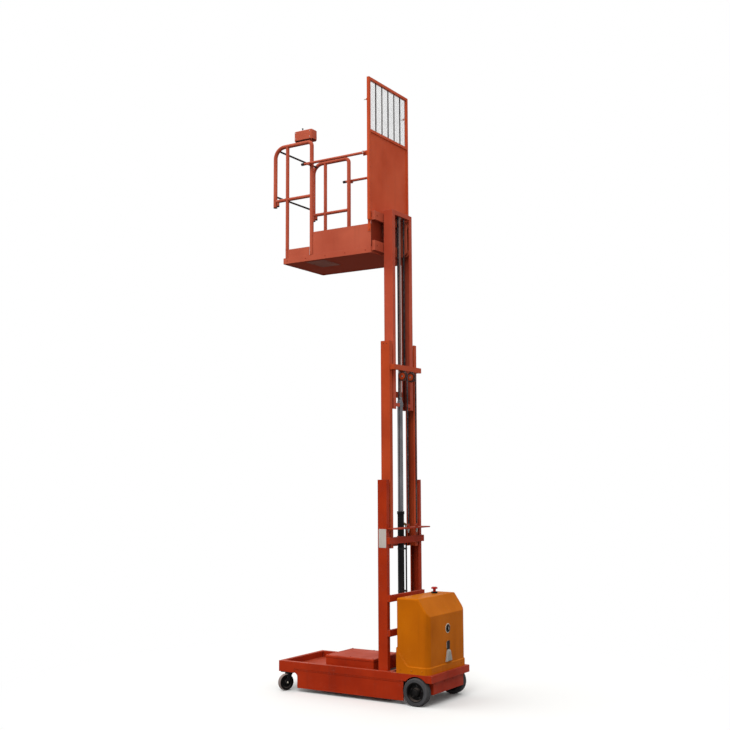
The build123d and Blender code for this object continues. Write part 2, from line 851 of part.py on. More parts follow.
# Outline from the pin to the groove: radius, distance from the wheel's middle
sheave_outline = [
    (0, sheave_half),
    (sheave_hub_radius, sheave_half),
    (sheave_hub_radius, sheave_half - sheave_dish),
    (sheave_radius - sheave_dish, sheave_half - sheave_dish),
    (sheave_radius - sheave_dish, sheave_half),
    (flange_radius, sheave_half),
    (flange_radius, groove_half),
    (sheave_radius, groove_half),
]
with BuildPart() as chain_wheels:
    for side, sign in sides:
        sheave_centre = (sheave_x, sign * chain_y, sheave_z)
        with BuildSketch(Plane(origin=sheave_centre, x_dir=(1, 0, 0), z_dir=(0, 0, 1))):
            with BuildLine():
                Polyline(
                    *sheave_outline,
                    *[(radius, -out) for radius, out in reversed(sheave_outline)],
                    close=True,
                )
            make_face()
        revolve(axis=Axis(sheave_centre, (0, 1, 0)))
        pin_start = Plane(
            origin=(sheave_x, sign * chain_y - sheave_half - cheek_gap - cheek, sheave_z),
            x_dir=(1, 0, 0),
            z_dir=(0, 1, 0),
        )
        with BuildSketch(pin_start):
            Circle(sheave_pin)
        extrude(amount=2 * (sheave_half + cheek_gap + cheek))
        for start in (0, cheek + 2 * cheek_gap + 2 * sheave_half):
            with BuildSketch(pin_start.offset(start)):
                with Locations((0, -(cheek_top - sheave_z - cheek_tail) / 2)):
                    Rectangle(cheek_width, cheek_top - sheave_z + cheek_tail)
            extrude(amount=cheek)
chain_wheels.part.label = "chain_wheels"
export_step(chain_wheels.part, "parts/chain_wheels.step")

# Inner columns with their rollers
with BuildPart() as inner_columns:
    for side, sign in sides:
        with BuildSketch(Plane.XY.offset(inner_bottom)):
            with BuildLine():
                Polyline(*channel_outline(inner_y, sign), close=True)
            make_face()
        extrude(amount=inner_height)
        for height in roller_heights:
            roller_plane = Plane(
                origin=(roller_x, sign * inner_y, inner_bottom + height),
                x_dir=(1, 0, 0),
                z_dir=(0, sign, 0),
            )
            with BuildSketch(roller_plane):
                Circle(roller_pin)
            extrude(amount=stage_shift - column_width + roller_edge)
            with BuildSketch(roller_plane.offset(stage_shift - column_width + roller_edge)):
                Circle(roller_radius)
            extrude(amount=column_width - web - roller_edge - roller_gap)
inner_columns.part.label = "inner_columns"
export_step(inner_columns.part, "parts/inner_columns.step")

# Inner cross members: top bar over the rod, lower bar ahead of the cylinder, chain lugs
inner_clear = inner_y - column_width
rod_top = inner_top - top_bar_height
with BuildPart() as inner_crossbars:
    with BuildSketch(Plane.XY.offset(rod_top)):
        with Locations((mast_front - mast_depth / 2, 0)):
            Rectangle(mast_depth, 2 * inner_clear)
    extrude(amount=top_bar_height)
    with BuildSketch(Plane.XY.offset(inner_bottom + inner_bar_rise)):
        with Locations((mast_front - inner_bar_thick / 2, 0)):
            Rectangle(inner_bar_thick, 2 * inner_clear)
    extrude(amount=inner_bar_height)
    with BuildSketch(Plane.XY.offset(inner_bottom + lug_bottom)):
        for side, sign in sides:
            with Locations((chain_front_x, sign * (chain_y - chain_width / 2 + inner_clear) / 2)):
                Rectangle(chain_lug_thick, inner_clear - chain_y + chain_width / 2)
    extrude(amount=lug_height)
inner_crossbars.part.label = "inner_crossbars"
export_step(inner_crossbars.part, "parts/inner_crossbars.step")

# Upper plunger, bolted under the inner mast's top bar
with BuildPart() as upper_plunger:
    with BuildSketch(Plane.XY.offset(rod_bottom)):
        with Locations((cylinder_x, 0)):
            Circle(rod_radius)
    extrude(amount=rod_top - rod_bottom)
    with BuildSketch(Plane.XY.offset(rod_top - rod_collar_height)):
        with Locations((cylinder_x, 0)):
            Circle(rod_collar_radius)
    extrude(amount=rod_collar_height)
upper_plunger.part.label = "upper_plunger"
export_step(upper_plunger.part, "parts/upper_plunger.step")

# Chains: straight strands, plain here
with BuildPart() as outer_chains:
    with BuildSketch(Plane.XY.offset(anchor_z + anchor_thick + anchor_block)):
        with Locations((chain_rear_x, chain_y), (chain_rear_x, -chain_y)):
            Rectangle(chain_thick, chain_width)
    extrude(amount=sheave_z - anchor_z - anchor_thick - anchor_block)
outer_chains.part.label = "outer_chains"
export_step(outer_chains.part, "parts/outer_chains.step")
with BuildPart() as inner_chains:
    with BuildSketch(Plane.XY.offset(inner_bottom + lug_bottom + lug_height)):
        with Locations((chain_front_x, chain_y), (chain_front_x, -chain_y)):
            Rectangle(chain_thick, chain_width)
    extrude(amount=sheave_z - inner_bottom - lug_bottom - lug_height)
inner_chains.part.label = "inner_chains"
export_step(inner_chains.part, "parts/inner_chains.step")
with BuildPart() as carriage_chains:
    with BuildSketch(Plane.XY.offset(head_bar_z + tongue_height / 2)):
        with Locations((lift_chain_x, lift_chain_y), (lift_chain_x, -lift_chain_y)):
            Rectangle(chain_thick, lift_chain_width)
    extrude(amount=rod_top - seat_gap - head_bar_z - tongue_height / 2)
carriage_chains.part.label = "carriage_chains"
export_step(carriage_chains.part, "parts/carriage_chains.step")

# Platform carriage: two beams ahead of the mast, two side plates with rollers in the inner channels
side_bottom = platform_bottom + carriage_rise
side_top = side_bottom + side_height
beam_heights = [(side_bottom, lower_beam), (side_bottom + beam_spacing, upper_beam)]
plate_y = inner_clear - carriage_plate - slide_gap
roller_start = inner_clear + roller_edge - plate_y
with BuildPart() as carriage:
    for lowest, height in beam_heights:
        with BuildSketch(Plane.XY.offset(lowest)):
            with Locations((platform_rear - beam_thick / 2, 0)):
                Rectangle(beam_thick, 2 * guard_y)
        extrude(amount=height)
    for side, sign in sides:
        with BuildSketch(Plane.XZ.offset(-sign * plate_y)):
            with BuildLine():
                Polyline(
                    (platform_rear - beam_thick, side_bottom),
                    (mast_rear + side_setback + side_corner, side_bottom),
                    (mast_rear + side_setback, side_bottom + side_corner),
                    (mast_rear + side_setback, side_top - side_corner),
                    (mast_rear + side_setback + side_corner, side_top),
                    (platform_rear - beam_thick, side_top),
                    close=True,
                )
            make_face()
        extrude(amount=sign * carriage_plate)
        for height in (side_bottom + roller_inset, side_top - roller_inset):
            roller_plane = Plane(origin=(roller_x, sign * plate_y, height), x_dir=(1, 0, 0), z_dir=(0, sign, 0))
            with BuildSketch(roller_plane):
                Circle(roller_pin)
            extrude(amount=roller_start)
            with BuildSketch(roller_plane.offset(roller_start)):
                Circle(roller_radius)
            extrude(amount=column_width - web - roller_edge - roller_gap)
carriage.part.label = "carriage"
export_step(carriage.part, "parts/carriage.step")

# Platform deck: a welded tray, its underside set in from the rim, with an access plate
hatch_setback, hatch_y, hatch_length, hatch_width = hatch
with BuildPart() as platform_deck:
    with BuildSketch(Plane.XY.offset(platform_bottom)):
        with Locations((platform_rear + platform_length / 2, 0)):
            RectangleRounded(platform_length, 2 * platform_half, deck_corner)
    extrude(amount=deck_depth)
    with BuildSketch(Plane.XY.offset(platform_bottom)):
        with Locations((platform_rear + platform_length / 2, 0)):
            Rectangle(platform_length - 2 * deck_lip, 2 * (platform_half - deck_lip))
    extrude(amount=deck_recess, mode=Mode.SUBTRACT)
    with BuildSketch(Plane.XY.offset(platform_bottom + deck_recess - hatch_thick)):
        with Locations((platform_rear + hatch_setback, hatch_y)):
            RectangleRounded(hatch_length, hatch_width, hatch_corner)
    extrude(amount=hatch_thick)
platform_deck.part.label = "platform_deck"
export_step(platform_deck.part, "parts/platform_deck.step")

# Rubber mat on the deck, between the guard posts
with BuildPart() as floor_mat:
    with BuildSketch(Plane.XY.offset(deck_top)):
        with Locations((platform_rear + platform_length / 2, 0)):
            Rectangle(platform_length - 2 * mat_margin, 2 * (guard_y - tube_radius - mat_margin))
    extrude(amount=mat_thick)
floor_mat.part.label = "floor_mat"
export_step(floor_mat.part, "parts/floor_mat.step")

# Kick plates: tall ones beside the entry with a folded top edge, low toe boards between the posts
kick_front = post_rear_x - tube_radius - kick_gap
toe_length = post_front_x - post_rear_x - 2 * (tube_radius + toe_gap)
with BuildPart() as kick_plates:
    for side, sign in sides:
        plate_outer = platform_half - kick_inset
        with BuildSketch(Plane.XY.offset(deck_top)):
            with Locations(((platform_rear + kick_front) / 2, sign * (plate_outer - side_plate / 2))):
                Rectangle(kick_front - platform_rear, side_plate)
        extrude(amount=kick_height)
        with BuildSketch(Plane.XY.offset(deck_top + kick_height - kick_lip_thick)):
            with Locations(((platform_rear + kick_front) / 2, sign * (plate_outer - kick_lip / 2))):
                Rectangle(kick_front - platform_rear, kick_lip)
        extrude(amount=kick_lip_thick)
        with BuildSketch(Plane.XY.offset(deck_top)):
            with Locations(((post_rear_x + post_front_x) / 2, sign * (plate_outer - side_plate / 2))):
                Rectangle(toe_length, side_plate)
        extrude(amount=toe_height)
kick_plates.part.label = "kick_plates"
export_step(kick_plates.part, "parts/kick_plates.step")

# Guard frames: rear post, top rail and front hoop in one bent tube, with a post and a middle rail
with BuildPart() as guard_frames:
    for side, sign in sides:
        with BuildLine():
            FilletPolyline(
                (post_rear_x, sign * guard_y, deck_top),
                (post_rear_x, sign * guard_y, guard_top),
                (guard_x, sign * guard_y, guard_top),
                (guard_x, sign * guard_y, guard_end),
                radius=[post_bend, hoop_radius],
            )
        with BuildSketch(Plane(origin=(post_rear_x, sign * guard_y, deck_top), z_dir=(0, 0, 1))):
            Circle(tube_radius)
        sweep()
        with BuildSketch(Plane.XY.offset(deck_top)):
            with Locations((post_front_x, sign * guard_y)):
                Circle(post_radius)
        extrude(amount=guard_top - deck_top)
        with BuildSketch(Plane(origin=(post_rear_x, sign * guard_y, guard_middle), z_dir=(1, 0, 0))):
            Circle(middle_radius)
        extrude(amount=guard_x - post_rear_x)
        with BuildSketch(Plane.XY.offset(guard_end + stub_rise)):
            with Locations((guard_x - stub_setback, sign * guard_y)):
                Circle(stub_radius)
        extrude(amount=guard_middle - guard_end - stub_rise)
        # saddle on the rear post that the entry bar rests in
        hook_bottom = gate_z - gate_radius - seat_gap - hook_thick
        hook_outer = gate_y + gate_radius + gate_gap + hook_thick
        with BuildSketch(Plane.XY.offset(hook_bottom)):
            with Locations((post_rear_x, sign * (guard_y + hook_outer) / 2)):
                Rectangle(hook_width, hook_outer - guard_y)
        extrude(amount=hook_thick)
        with BuildSketch(Plane.XY.offset(hook_bottom)):
            with Locations((post_rear_x, sign * (hook_outer - hook_thick / 2))):
                Rectangle(hook_width, hook_thick)
        extrude(amount=hook_thick + hook_rise)
guard_frames.part.label = "guard_frames"
export_step(guard_frames.part, "parts/guard_frames.step")

# Thin rails across the front, from hoop to hoop
rail_places = [
    (guard_x - front_rail_setback, guard_top - front_rail_drop),
    (guard_x, guard_middle + front_rail_rise),
]
with BuildPart() as front_rails:
    for rail_x, rail_z in rail_places:
        rail_start = (rail_x, -guard_y + tube_radius, rail_z)
        with BuildSketch(Plane(origin=rail_start, x_dir=(1, 0, 0), z_dir=(0, 1, 0))):
            Circle(front_rail_radius)
        extrude(amount=2 * (guard_y - tube_radius))
front_rails.part.label = "front_rails"
export_step(front_rails.part, "parts/front_rails.step")

# Control box on the left top rail, standing on a narrower foot
control_x = post_rear_x - control_setback + control_length / 2
control_y = guard_y + tube_radius - control_width / 2
with BuildPart() as control_box:
    with BuildSketch(Plane.XY.offset(guard_top + tube_radius)):
        with Locations((control_x, control_y)):
            Rectangle(control_length - 2 * control_inset, control_width - 2 * control_inset)
    extrude(amount=control_groove)
    with BuildSketch(Plane.XY.offset(guard_top + tube_radius + control_groove)):
        with Locations((control_x, control_y)):
            RectangleRounded(control_length, control_width, control_corner)
    extrude(amount=control_height)
    chamfer(control_box.faces().sort_by(Axis.Z)[-1].edges(), control_edge)
control_box.part.label = "control_box"
export_step(control_box.part, "parts/control_box.step")

# Backrest frame: tube frame with a rail between the panel and the mesh
back_inner = 2 * (back_half - back_tube)
with BuildPart() as backrest_frame:
    with BuildSketch(Plane.YZ.offset(platform_rear)):
        with Locations((0, (back_top + back_bottom) / 2)):
            Rectangle(2 * back_half, back_top - back_bottom)
        with Locations((0, (back_top + back_split) / 2)):
            Rectangle(back_inner, back_top - back_split - 2 * back_tube, mode=Mode.SUBTRACT)
        with Locations((0, (back_split + back_bottom + back_tube) / 2)):
            Rectangle(back_inner, back_split - back_bottom - back_tube, mode=Mode.SUBTRACT)
    extrude(amount=back_depth)
    for side, sign in sides:
        lug_face = gate_y - gate_radius - lug_gap
        with BuildSketch(Plane.XZ.offset(-sign * lug_face)):
            with BuildLine():
                Polyline(
                    (platform_rear + back_depth, gate_z - lug_half),
                    (gate_pivot_x + lug_reach, gate_z - lug_half),
                    (gate_pivot_x + lug_reach, gate_z + lug_half),
                    (platform_rear + back_depth, gate_z + lug_half),
                    close=True,
                )
            make_face()
        extrude(amount=sign * lug_thick)
        with BuildSketch(Plane(origin=(gate_pivot_x, sign * lug_face, gate_z),
                               x_dir=(1, 0, 0), z_dir=(0, sign, 0))):
            Circle(gate_pin_radius)
        extrude(amount=2 * gate_radius + 2 * lug_gap)
        catch_plane = Plane(
            origin=(platform_rear + back_depth, sign * (back_half - catch_inset), guard_top + catch_height),
            z_dir=(1, 0, 0),
        )
        with BuildSketch(catch_plane):
            Circle(catch_radius)
        extrude(amount=catch_length)
        with BuildSketch(catch_plane.offset(catch_length)):
            Circle(catch_tip_radius)
        extrude(amount=catch_tip_length)
backrest_frame.part.label = "backrest_frame"
export_step(backrest_frame.part, "parts/backrest_frame.step")

# Backrest panel
with BuildPart() as backrest_panel:
    with BuildSketch(Plane.YZ.offset(platform_rear + panel_setback)):
        with Locations((0, (back_split + back_bottom + back_tube) / 2)):
            Rectangle(back_inner, back_split - back_bottom - back_tube)
    extrude(amount=panel_thick)
backrest_panel.part.label = "backrest_panel"
export_step(backrest_panel.part, "parts/backrest_panel.step")

# Backrest mesh: strong uprights with flat wires across
mesh_low = back_split + back_tube
mesh_high = back_top - back_tube
upright_pitch = back_inner / (upright_count + 1)
wire_pitch = (mesh_high - mesh_low) / (wire_rows + 1)
with BuildPart() as backrest_mesh:
    with BuildSketch(Plane.XY.offset(mesh_low)):
        with Locations((platform_rear + back_depth / 2, 0)):
            with GridLocations(upright_pitch, upright_pitch, 1, upright_count):
                Rectangle(upright_size, upright_size)
    extrude(amount=mesh_high - mesh_low)
    for row in range(1, wire_rows + 1):
        with BuildSketch(Plane.XY.offset(mesh_low + row * wire_pitch - wire_size / 2)):
            with Locations((platform_rear + back_depth / 2, 0)):
                Rectangle(wire_size, back_inner)
        extrude(amount=wire_size)
backrest_mesh.part.label = "backrest_mesh"
export_step(backrest_mesh.part, "parts/backrest_mesh.step")

# Entry bars, hinged on the backrest, each with a rubber end
for side, sign in sides:
    with BuildPart() as gate_bar:
        bar_plane = Plane(origin=(gate_pivot_x + gate_root, sign * gate_y, gate_z), z_dir=(1, 0, 0))
        bar_length = gate_reach - gate_root
        with BuildSketch(bar_plane):
            Circle(gate_radius)
        extrude(amount=bar_length)
        with BuildSketch(bar_plane.offset(bar_length - gate_tip)):
            Circle(gate_radius)
            Circle(gate_radius - gate_notch, mode=Mode.SUBTRACT)
        extrude(amount=gate_notch, mode=Mode.SUBTRACT)
        hinge_plane = Plane(origin=(gate_pivot_x, sign * gate_y - gate_radius, gate_z),
                            x_dir=(1, 0, 0), z_dir=(0, 1, 0))
        with BuildSketch(hinge_plane):
            Circle(gate_radius + lug_gap)
        extrude(amount=2 * gate_radius)
        with BuildSketch(hinge_plane):
            Circle(gate_pin_radius + running_clear)
        extrude(amount=2 * gate_radius, mode=Mode.SUBTRACT)
    gate_bar.part.label = "gate_bar_" + side
    export_step(gate_bar.part, "parts/gate_bar_" + side + ".step")

# Power cover: one hollow moulding, open below, with a flared band that rises at the front corners
cover_length = cover_front - cover_rear
with BuildPart() as power_cover:
    with BuildSketch(Plane.XZ.offset(-cover_half)):
        with BuildLine():
            Polyline(
                (cover_front, rail_top),
                (cover_rear, rail_top),
                (cover_rear, cover_slope_z),
                (cover_slope_x, cover_top),
                (cover_front, cover_top),
                close=True,
            )
        make_face()
    extrude(amount=2 * cover_half)
    corners = power_cover.edges().filter_by(Axis.Z).sort_by(Axis.X)
    fillet(corners[2:], cover_round)
    fillet(corners[:2], cover_corner)
    upper = power_cover.faces().filter_by(lambda face: face.normal_at().Z > 0.3).edges()
    fillet(upper, cover_round - 2)
    with BuildSketch(Plane.XZ.offset(-(cover_half + band_out))):
        with BuildLine():
            FilletPolyline(
                (cover_rear - band_out, rail_top + band_height),
                (cover_front - band_start, rail_top + band_height),
                (cover_front, rail_top + band_rise),
                radius=band_bend,
            )
            Polyline(
                (cover_front, rail_top + band_rise),
                (cover_front, rail_top),
                (cover_rear - band_out, rail_top),
                (cover_rear - band_out, rail_top + band_height),
            )
        make_face()
    extrude(amount=2 * (cover_half + band_out))
    upright_edges = power_cover.edges().filter_by(Axis.Z)
    fillet(upright_edges.filter_by(lambda edge: edge.center().X < cover_rear - band_out / 2), cover_corner + band_out)
    band_edges = power_cover.edges().filter_by(
        lambda edge: (
            rail_top + band_height - 1 < edge.center().Z < rail_top + band_rise
            and (abs(edge.center().Y) > cover_half + band_out / 2 or edge.center().X < cover_rear - band_out / 2)
        )
    )
    chamfer(band_edges - power_cover.edges().filter_by(Axis.Z), band_edge)
    with BuildSketch(Plane.XY.offset(rail_top)):
        with Locations(((cover_front + cover_rear) / 2, 0)):
            RectangleRounded(
                cover_length - 2 * cover_wall,
                2 * (cover_half - cover_wall),
                cover_corner - cover_wall,
            )
    extrude(amount=cover_slope_z - rail_top, mode=Mode.SUBTRACT)
    with BuildSketch(Plane.XZ.offset(-(cover_half - cover_round))):
        with BuildLine():
            Polyline(
                (cover_front - cover_round, cover_slope_z),
                (cover_rear + cover_round, cover_slope_z),
                (cover_slope_x + cover_round, cover_top - cover_round),
                (cover_front - cover_round, cover_top - cover_round),
                close=True,
            )
        make_face()
    extrude(amount=2 * (cover_half - cover_round), mode=Mode.SUBTRACT)
power_cover.part.label = "power_cover"
export_step(power_cover.part, "parts/power_cover.step")

# Battery and pump: one plain block under the cover
with BuildPart() as power_block:
    with BuildSketch(Plane.XY.offset(floor_top)):
        with Locations(((cover_front + cover_rear) / 2, 0)):
            Rectangle(cover_front - cover_rear - 2 * block_gap, 2 * (plate_half - wheel_gap))
    extrude(amount=block_height)
power_block.part.label = "power_block"
export_step(power_block.part, "parts/power_block.step")

# Emergency stop: dark base, stem and mushroom head, turned about its own axis
stop_x = cover_front - stop_setback
with BuildPart() as stop_button:
    with BuildSketch(Plane(origin=(stop_x, stop_y, cover_top), x_dir=(1, 0, 0), z_dir=(0, -1, 0))):
        with BuildLine():
            Polyline(
                (0, 0),
                *[(radius, height) for height, radius in stop_outline],
                (0, stop_outline[-1][0]),
                close=True,
            )
        make_face()
    revolve(axis=Axis((stop_x, stop_y, cover_top), (0, 0, 1)))
stop_button.part.label = "stop_button"
export_step(stop_button.part, "parts/stop_button.step")

# Key switch, socket and charging plug on the cover's rear face
plug_foot_z = cover_top - plug_drop - plug_height / 2
with BuildPart() as cover_fittings:
    with BuildSketch(Plane.YZ.offset(cover_rear)):
        with Locations((fitting_y, cover_top - key_drop)):
            Circle(key_radius)
        with Locations((fitting_y, cover_top - slot_drop)):
            RectangleRounded(slot_width, slot_height, slot_width / 3)
    extrude(amount=-fitting_thick)
    with BuildSketch(Plane.YZ.offset(cover_rear)):
        with Locations((fitting_y, cover_top - key_drop)):
            Circle(key_lock)
    extrude(amount=-2 * fitting_thick)
    with BuildSketch(Plane.YZ.offset(cover_rear)):
        with BuildLine():
            Polyline(
                (fitting_y - plug_foot, plug_foot_z),
                (fitting_y + plug_foot, plug_foot_z),
                (fitting_y + plug_top, plug_foot_z + plug_height),
                (fitting_y - plug_top, plug_foot_z + plug_height),
                close=True,
            )
        make_face()
    extrude(amount=-plug_thick)
    chamfer(cover_fittings.faces().sort_by(Axis.X)[0].edges(), plug_chamfer)
cover_fittings.part.label = "cover_fittings"
export_step(cover_fittings.part, "parts/cover_fittings.step")

# Hydraulic hose from the barrel's port down to the base, with a ferrule under its bend
hose_x = cylinder_x + hose_offset[0]
hose_y = hose_offset[1]
port_end = Vector(cylinder_x, 0, port_z) + port_turn * port_reach
with BuildPart() as hydraulic_hose:
    with BuildLine():
        FilletPolyline(
            port_end,
            (hose_x, hose_y, port_z),
            (hose_x, hose_y, mast_clear),
            radius=hose_bend,
        )
    with BuildSketch(Plane(origin=port_end, x_dir=(0, 0, 1), z_dir=port_turn)):
        Circle(hose_radius)
    sweep()
    with BuildSketch(Plane.XY.offset(port_z - ferrule_drop - ferrule_length)):
        with Locations((hose_x, hose_y)):
            Circle(ferrule_radius)
    extrude(amount=ferrule_length)
hydraulic_hose.part.label = "hydraulic_hose"
export_step(hydraulic_hose.part, "parts/hydraulic_hose.step")
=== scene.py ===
from math import cos, pi, radians, sin

import bmesh
import bpy
from mathutils import Matrix, Vector


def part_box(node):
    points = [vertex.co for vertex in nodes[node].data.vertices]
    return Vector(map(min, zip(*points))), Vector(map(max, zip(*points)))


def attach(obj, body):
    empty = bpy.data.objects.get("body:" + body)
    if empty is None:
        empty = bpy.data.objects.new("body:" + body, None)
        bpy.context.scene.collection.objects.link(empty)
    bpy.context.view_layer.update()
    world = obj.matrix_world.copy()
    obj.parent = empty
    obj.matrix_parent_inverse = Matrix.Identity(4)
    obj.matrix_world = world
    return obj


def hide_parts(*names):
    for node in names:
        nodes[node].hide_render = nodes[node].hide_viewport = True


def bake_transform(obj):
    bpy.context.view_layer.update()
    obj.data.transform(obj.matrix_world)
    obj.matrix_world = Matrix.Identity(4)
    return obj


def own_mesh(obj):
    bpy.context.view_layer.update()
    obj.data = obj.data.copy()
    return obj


# Order picker truck with its mast up: finishes, chains and small parts round the loaded frame.
# Metres, +X towards the platform's front, +Y left, +Z up.
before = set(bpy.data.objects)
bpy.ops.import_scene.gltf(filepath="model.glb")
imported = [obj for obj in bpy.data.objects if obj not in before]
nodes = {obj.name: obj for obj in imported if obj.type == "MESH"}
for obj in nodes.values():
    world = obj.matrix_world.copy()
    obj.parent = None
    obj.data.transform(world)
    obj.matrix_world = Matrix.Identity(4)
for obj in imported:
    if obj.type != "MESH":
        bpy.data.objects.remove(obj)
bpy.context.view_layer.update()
print("frame loaded:", len(nodes), "nodes")

bothSides = (("left", 1), ("right", -1))
mirrored = (1, -1)  # the left side, then the right one
ahead, back, up, down = (1, 0, 0), (-1, 0, 0), (0, 0, 1), (0, 0, -1)
white = (1, 1, 1, 1)


# Colour given in display values from 0 to 255, turned into the values that a shader takes
def tone(red, green, blue):
    linear = []
    for part in (red, green, blue):
        share = part / 255
        linear.append(share / 12.92 if share <= 0.04045 else ((share + 0.055) / 1.055) ** 2.4)
    return (*linear, 1)


# Camera

cameraLook = {
    "place": (-5.2424, 8.2917, 1.8708),
    "heading": -1.00549,
    "tilt": 0.1081,
    "lean": -0.003818,
    "focalPixels": 1068.177,
    "framePixels": 730,
    "sensor": 36,
    "reach": 200,
}


def addCamera(look):
    lens = bpy.data.cameras.new("photoCamera")
    lens.sensor_width = look["sensor"]
    lens.lens = look["sensor"] * look["focalPixels"] / look["framePixels"]
    lens.clip_end = look["reach"]
    camera = bpy.data.objects.new("photoCamera", lens)
    bpy.context.scene.collection.objects.link(camera)
    heading, tilt, lean = look["heading"], look["tilt"], look["lean"]
    forward = Vector((cos(heading) * cos(tilt), sin(heading) * cos(tilt), sin(tilt)))
    flatRight = forward.cross(Vector(up)).normalized()
    flatUp = flatRight.cross(forward)
    right = flatRight * cos(lean) + flatUp * sin(lean)
    upright = flatUp * cos(lean) - flatRight * sin(lean)
    turn = Matrix((right, upright, -forward)).transposed().to_4x4()
    camera.matrix_world = Matrix.Translation(look["place"]) @ turn
    bpy.context.scene.camera = camera


addCamera(cameraLook)


# Node helpers. An input is named by its label, with _ for a space, or by n and its number


def addNode(tree, kind, operation=None, **values):
    node = tree.nodes.new(kind)
    if operation:
        node.operation = operation
    for label, value in values.items():
        key = int(label[1:]) if label[0] == "n" and label[1:].isdigit() else label.replace("_", " ")
        if isinstance(value, bpy.types.NodeSocket):
            tree.links.new(value, node.inputs[key])
        else:
            node.inputs[key].default_value = value
    return node


def mixTone(tree, mask, under, over):
    node = tree.nodes.new("ShaderNodeMix")
    node.data_type = "RGBA"
    tree.links.new(mask, node.inputs["Factor"])
    for index, value in ((6, under), (7, over)):  # the colour inputs come after those for numbers
        if isinstance(value, bpy.types.NodeSocket):
            tree.links.new(value, node.inputs[index])
        else:
            node.inputs[index].default_value = value
    return node.outputs[2]


def mixShaders(tree, share, under, over):
    return addNode(tree, "ShaderNodeMixShader", n0=share, n1=under, n2=over).outputs[0]


def combine(tree, operation, first, second):
    return addNode(tree, "ShaderNodeMath", operation, n0=first, n1=second).outputs[0]


def product(tree, first, *others):
    for other in others:
        first = combine(tree, "MULTIPLY", first, other)
    return first


def between(tree, value, low, high):
    return addNode(tree, "ShaderNodeMapRange", Value=value, From_Min=low, From_Max=high).outputs[0]


# Studio: pale floor that fades into a white surround, soft sky, two wide suns

studioLook = {
    "floorSize": 60,
    "floorColour": tone(232, 232, 230),
    "bounceColour": tone(104, 98, 92),
    "floorRough": 0.75,
    "fadeStart": 1.1,
    "fadeEnd": 3.4,
    "skyStrength": 0.76,
    "sunHeight": 8,
    "keyStrength": 1.55,
    "keyTurn": (radians(38), 0, radians(200)),
    "keySpread": radians(34),
    "fillStrength": 0.95,
    "fillTurn": (radians(52), 0, radians(118)),
    "fillSpread": radians(60),
}


def seenDirectly(tree):
    path = addNode(tree, "ShaderNodeLightPath")
    seen = path.outputs["Is Camera Ray"]
    for ray in ("Is Glossy Ray", "Is Transmission Ray"):
        seen = combine(tree, "MAXIMUM", seen, path.outputs[ray])
    return seen


def buildSurround(look):
    world = bpy.data.worlds.new("paleSurround")
    bpy.context.scene.world = world
    world.use_nodes = True
    tree = world.node_tree
    tree.nodes.clear()
    lighting = addNode(tree, "ShaderNodeBackground", Color=white, Strength=look["skyStrength"])
    backdrop = addNode(tree, "ShaderNodeBackground", Color=white)
    surround = mixShaders(tree, seenDirectly(tree), lighting.outputs[0], backdrop.outputs[0])
    addNode(tree, "ShaderNodeOutputWorld", Surface=surround)


def addSun(name, look):
    sun = bpy.data.lights.new(name + "Sun", "SUN")
    sun.energy = look[name + "Strength"]
    sun.angle = look[name + "Spread"]
    lamp = bpy.data.objects.new(name + "Sun", sun)
    lamp.rotation_euler = look[name + "Turn"]
    lamp.location = (0, 0, look["sunHeight"])
    bpy.context.scene.collection.objects.link(lamp)


def layFloor(look):
    half = look["floorSize"] / 2
    corners = [(-half, -half, 0), (half, -half, 0), (half, half, 0), (-half, half, 0)]
    mesh = bpy.data.meshes.new("studioFloor")
    mesh.from_pydata(corners, [], [(0, 1, 2, 3)])
    floor = bpy.data.objects.new("studioFloor", mesh)
    bpy.context.scene.collection.objects.link(floor)
    paint = bpy.data.materials.new("paleFloor")
    paint.use_nodes = True
    tree = paint.node_tree
    shader = tree.nodes["Principled BSDF"]
    shader.inputs["Roughness"].default_value = look["floorRough"]
    direct = seenDirectly(tree)
    shade = mixTone(tree, direct, look["bounceColour"], look["floorColour"])
    tree.links.new(shade, shader.inputs["Base Color"])
    plain = addNode(tree, "ShaderNodeEmission", Color=white)
    place = addNode(tree, "ShaderNodeTexCoord")
    distance = addNode(tree, "ShaderNodeVectorMath", "LENGTH", n0=place.outputs["Object"])
    fade = addNode(tree, "ShaderNodeMapRange", Value=distance.outputs["Value"])
    fade.interpolation_type = "SMOOTHSTEP"
    fade.inputs["From Min"].default_value = look["fadeStart"]
    fade.inputs["From Max"].default_value = look["fadeEnd"]
    share = product(tree, fade.outputs[0], direct)
    surface = mixShaders(tree, share, shader.outputs[0], plain.outputs[0])
    tree.links.new(surface, tree.nodes["Material Output"].inputs[0])
    mesh.materials.append(paint)


bpy.context.scene.view_settings.view_transform = "Standard"
buildSurround(studioLook)
for sunName in ("key", "fill"):
    addSun(sunName, studioLook)
layFloor(studioLook)
print("camera and studio ready")


# Shared shader effects, each a node group that puts out masks, heights or normals


def noiseMask(tree, scale, low, high, detail, spread=(1, 1, 1)):
    place = addNode(tree, "ShaderNodeTexCoord")
    mapping = addNode(tree, "ShaderNodeMapping", Vector=place.outputs["Object"], Scale=spread)
    noise = addNode(tree, "ShaderNodeTexNoise", Vector=mapping.outputs[0], Scale=scale, Detail=detail)
    return between(tree, noise.outputs[0], low, high)


# How far a face looks up, or down where the bounds are negative
def facingMask(tree, low, high):
    flat = addNode(tree, "ShaderNodeNewGeometry")
    parts = addNode(tree, "ShaderNodeSeparateXYZ", Vector=flat.outputs["Normal"])
    return between(tree, parts.outputs["Z"], low, high)


def drawToneDrift(tree, given):
    return {"Mask": noiseMask(tree, given["Scale"], 0.36, 0.66, 5)}


def drawRunMarks(tree, given):
    streaks = noiseMask(tree, given["Scale"], 0.52, 0.78, 3, (1, 1, 0.05))
    patches = noiseMask(tree, 2.2, 0.42, 0.7, 2)
    return {"Mask": product(tree, streaks, patches, given["Amount"])}


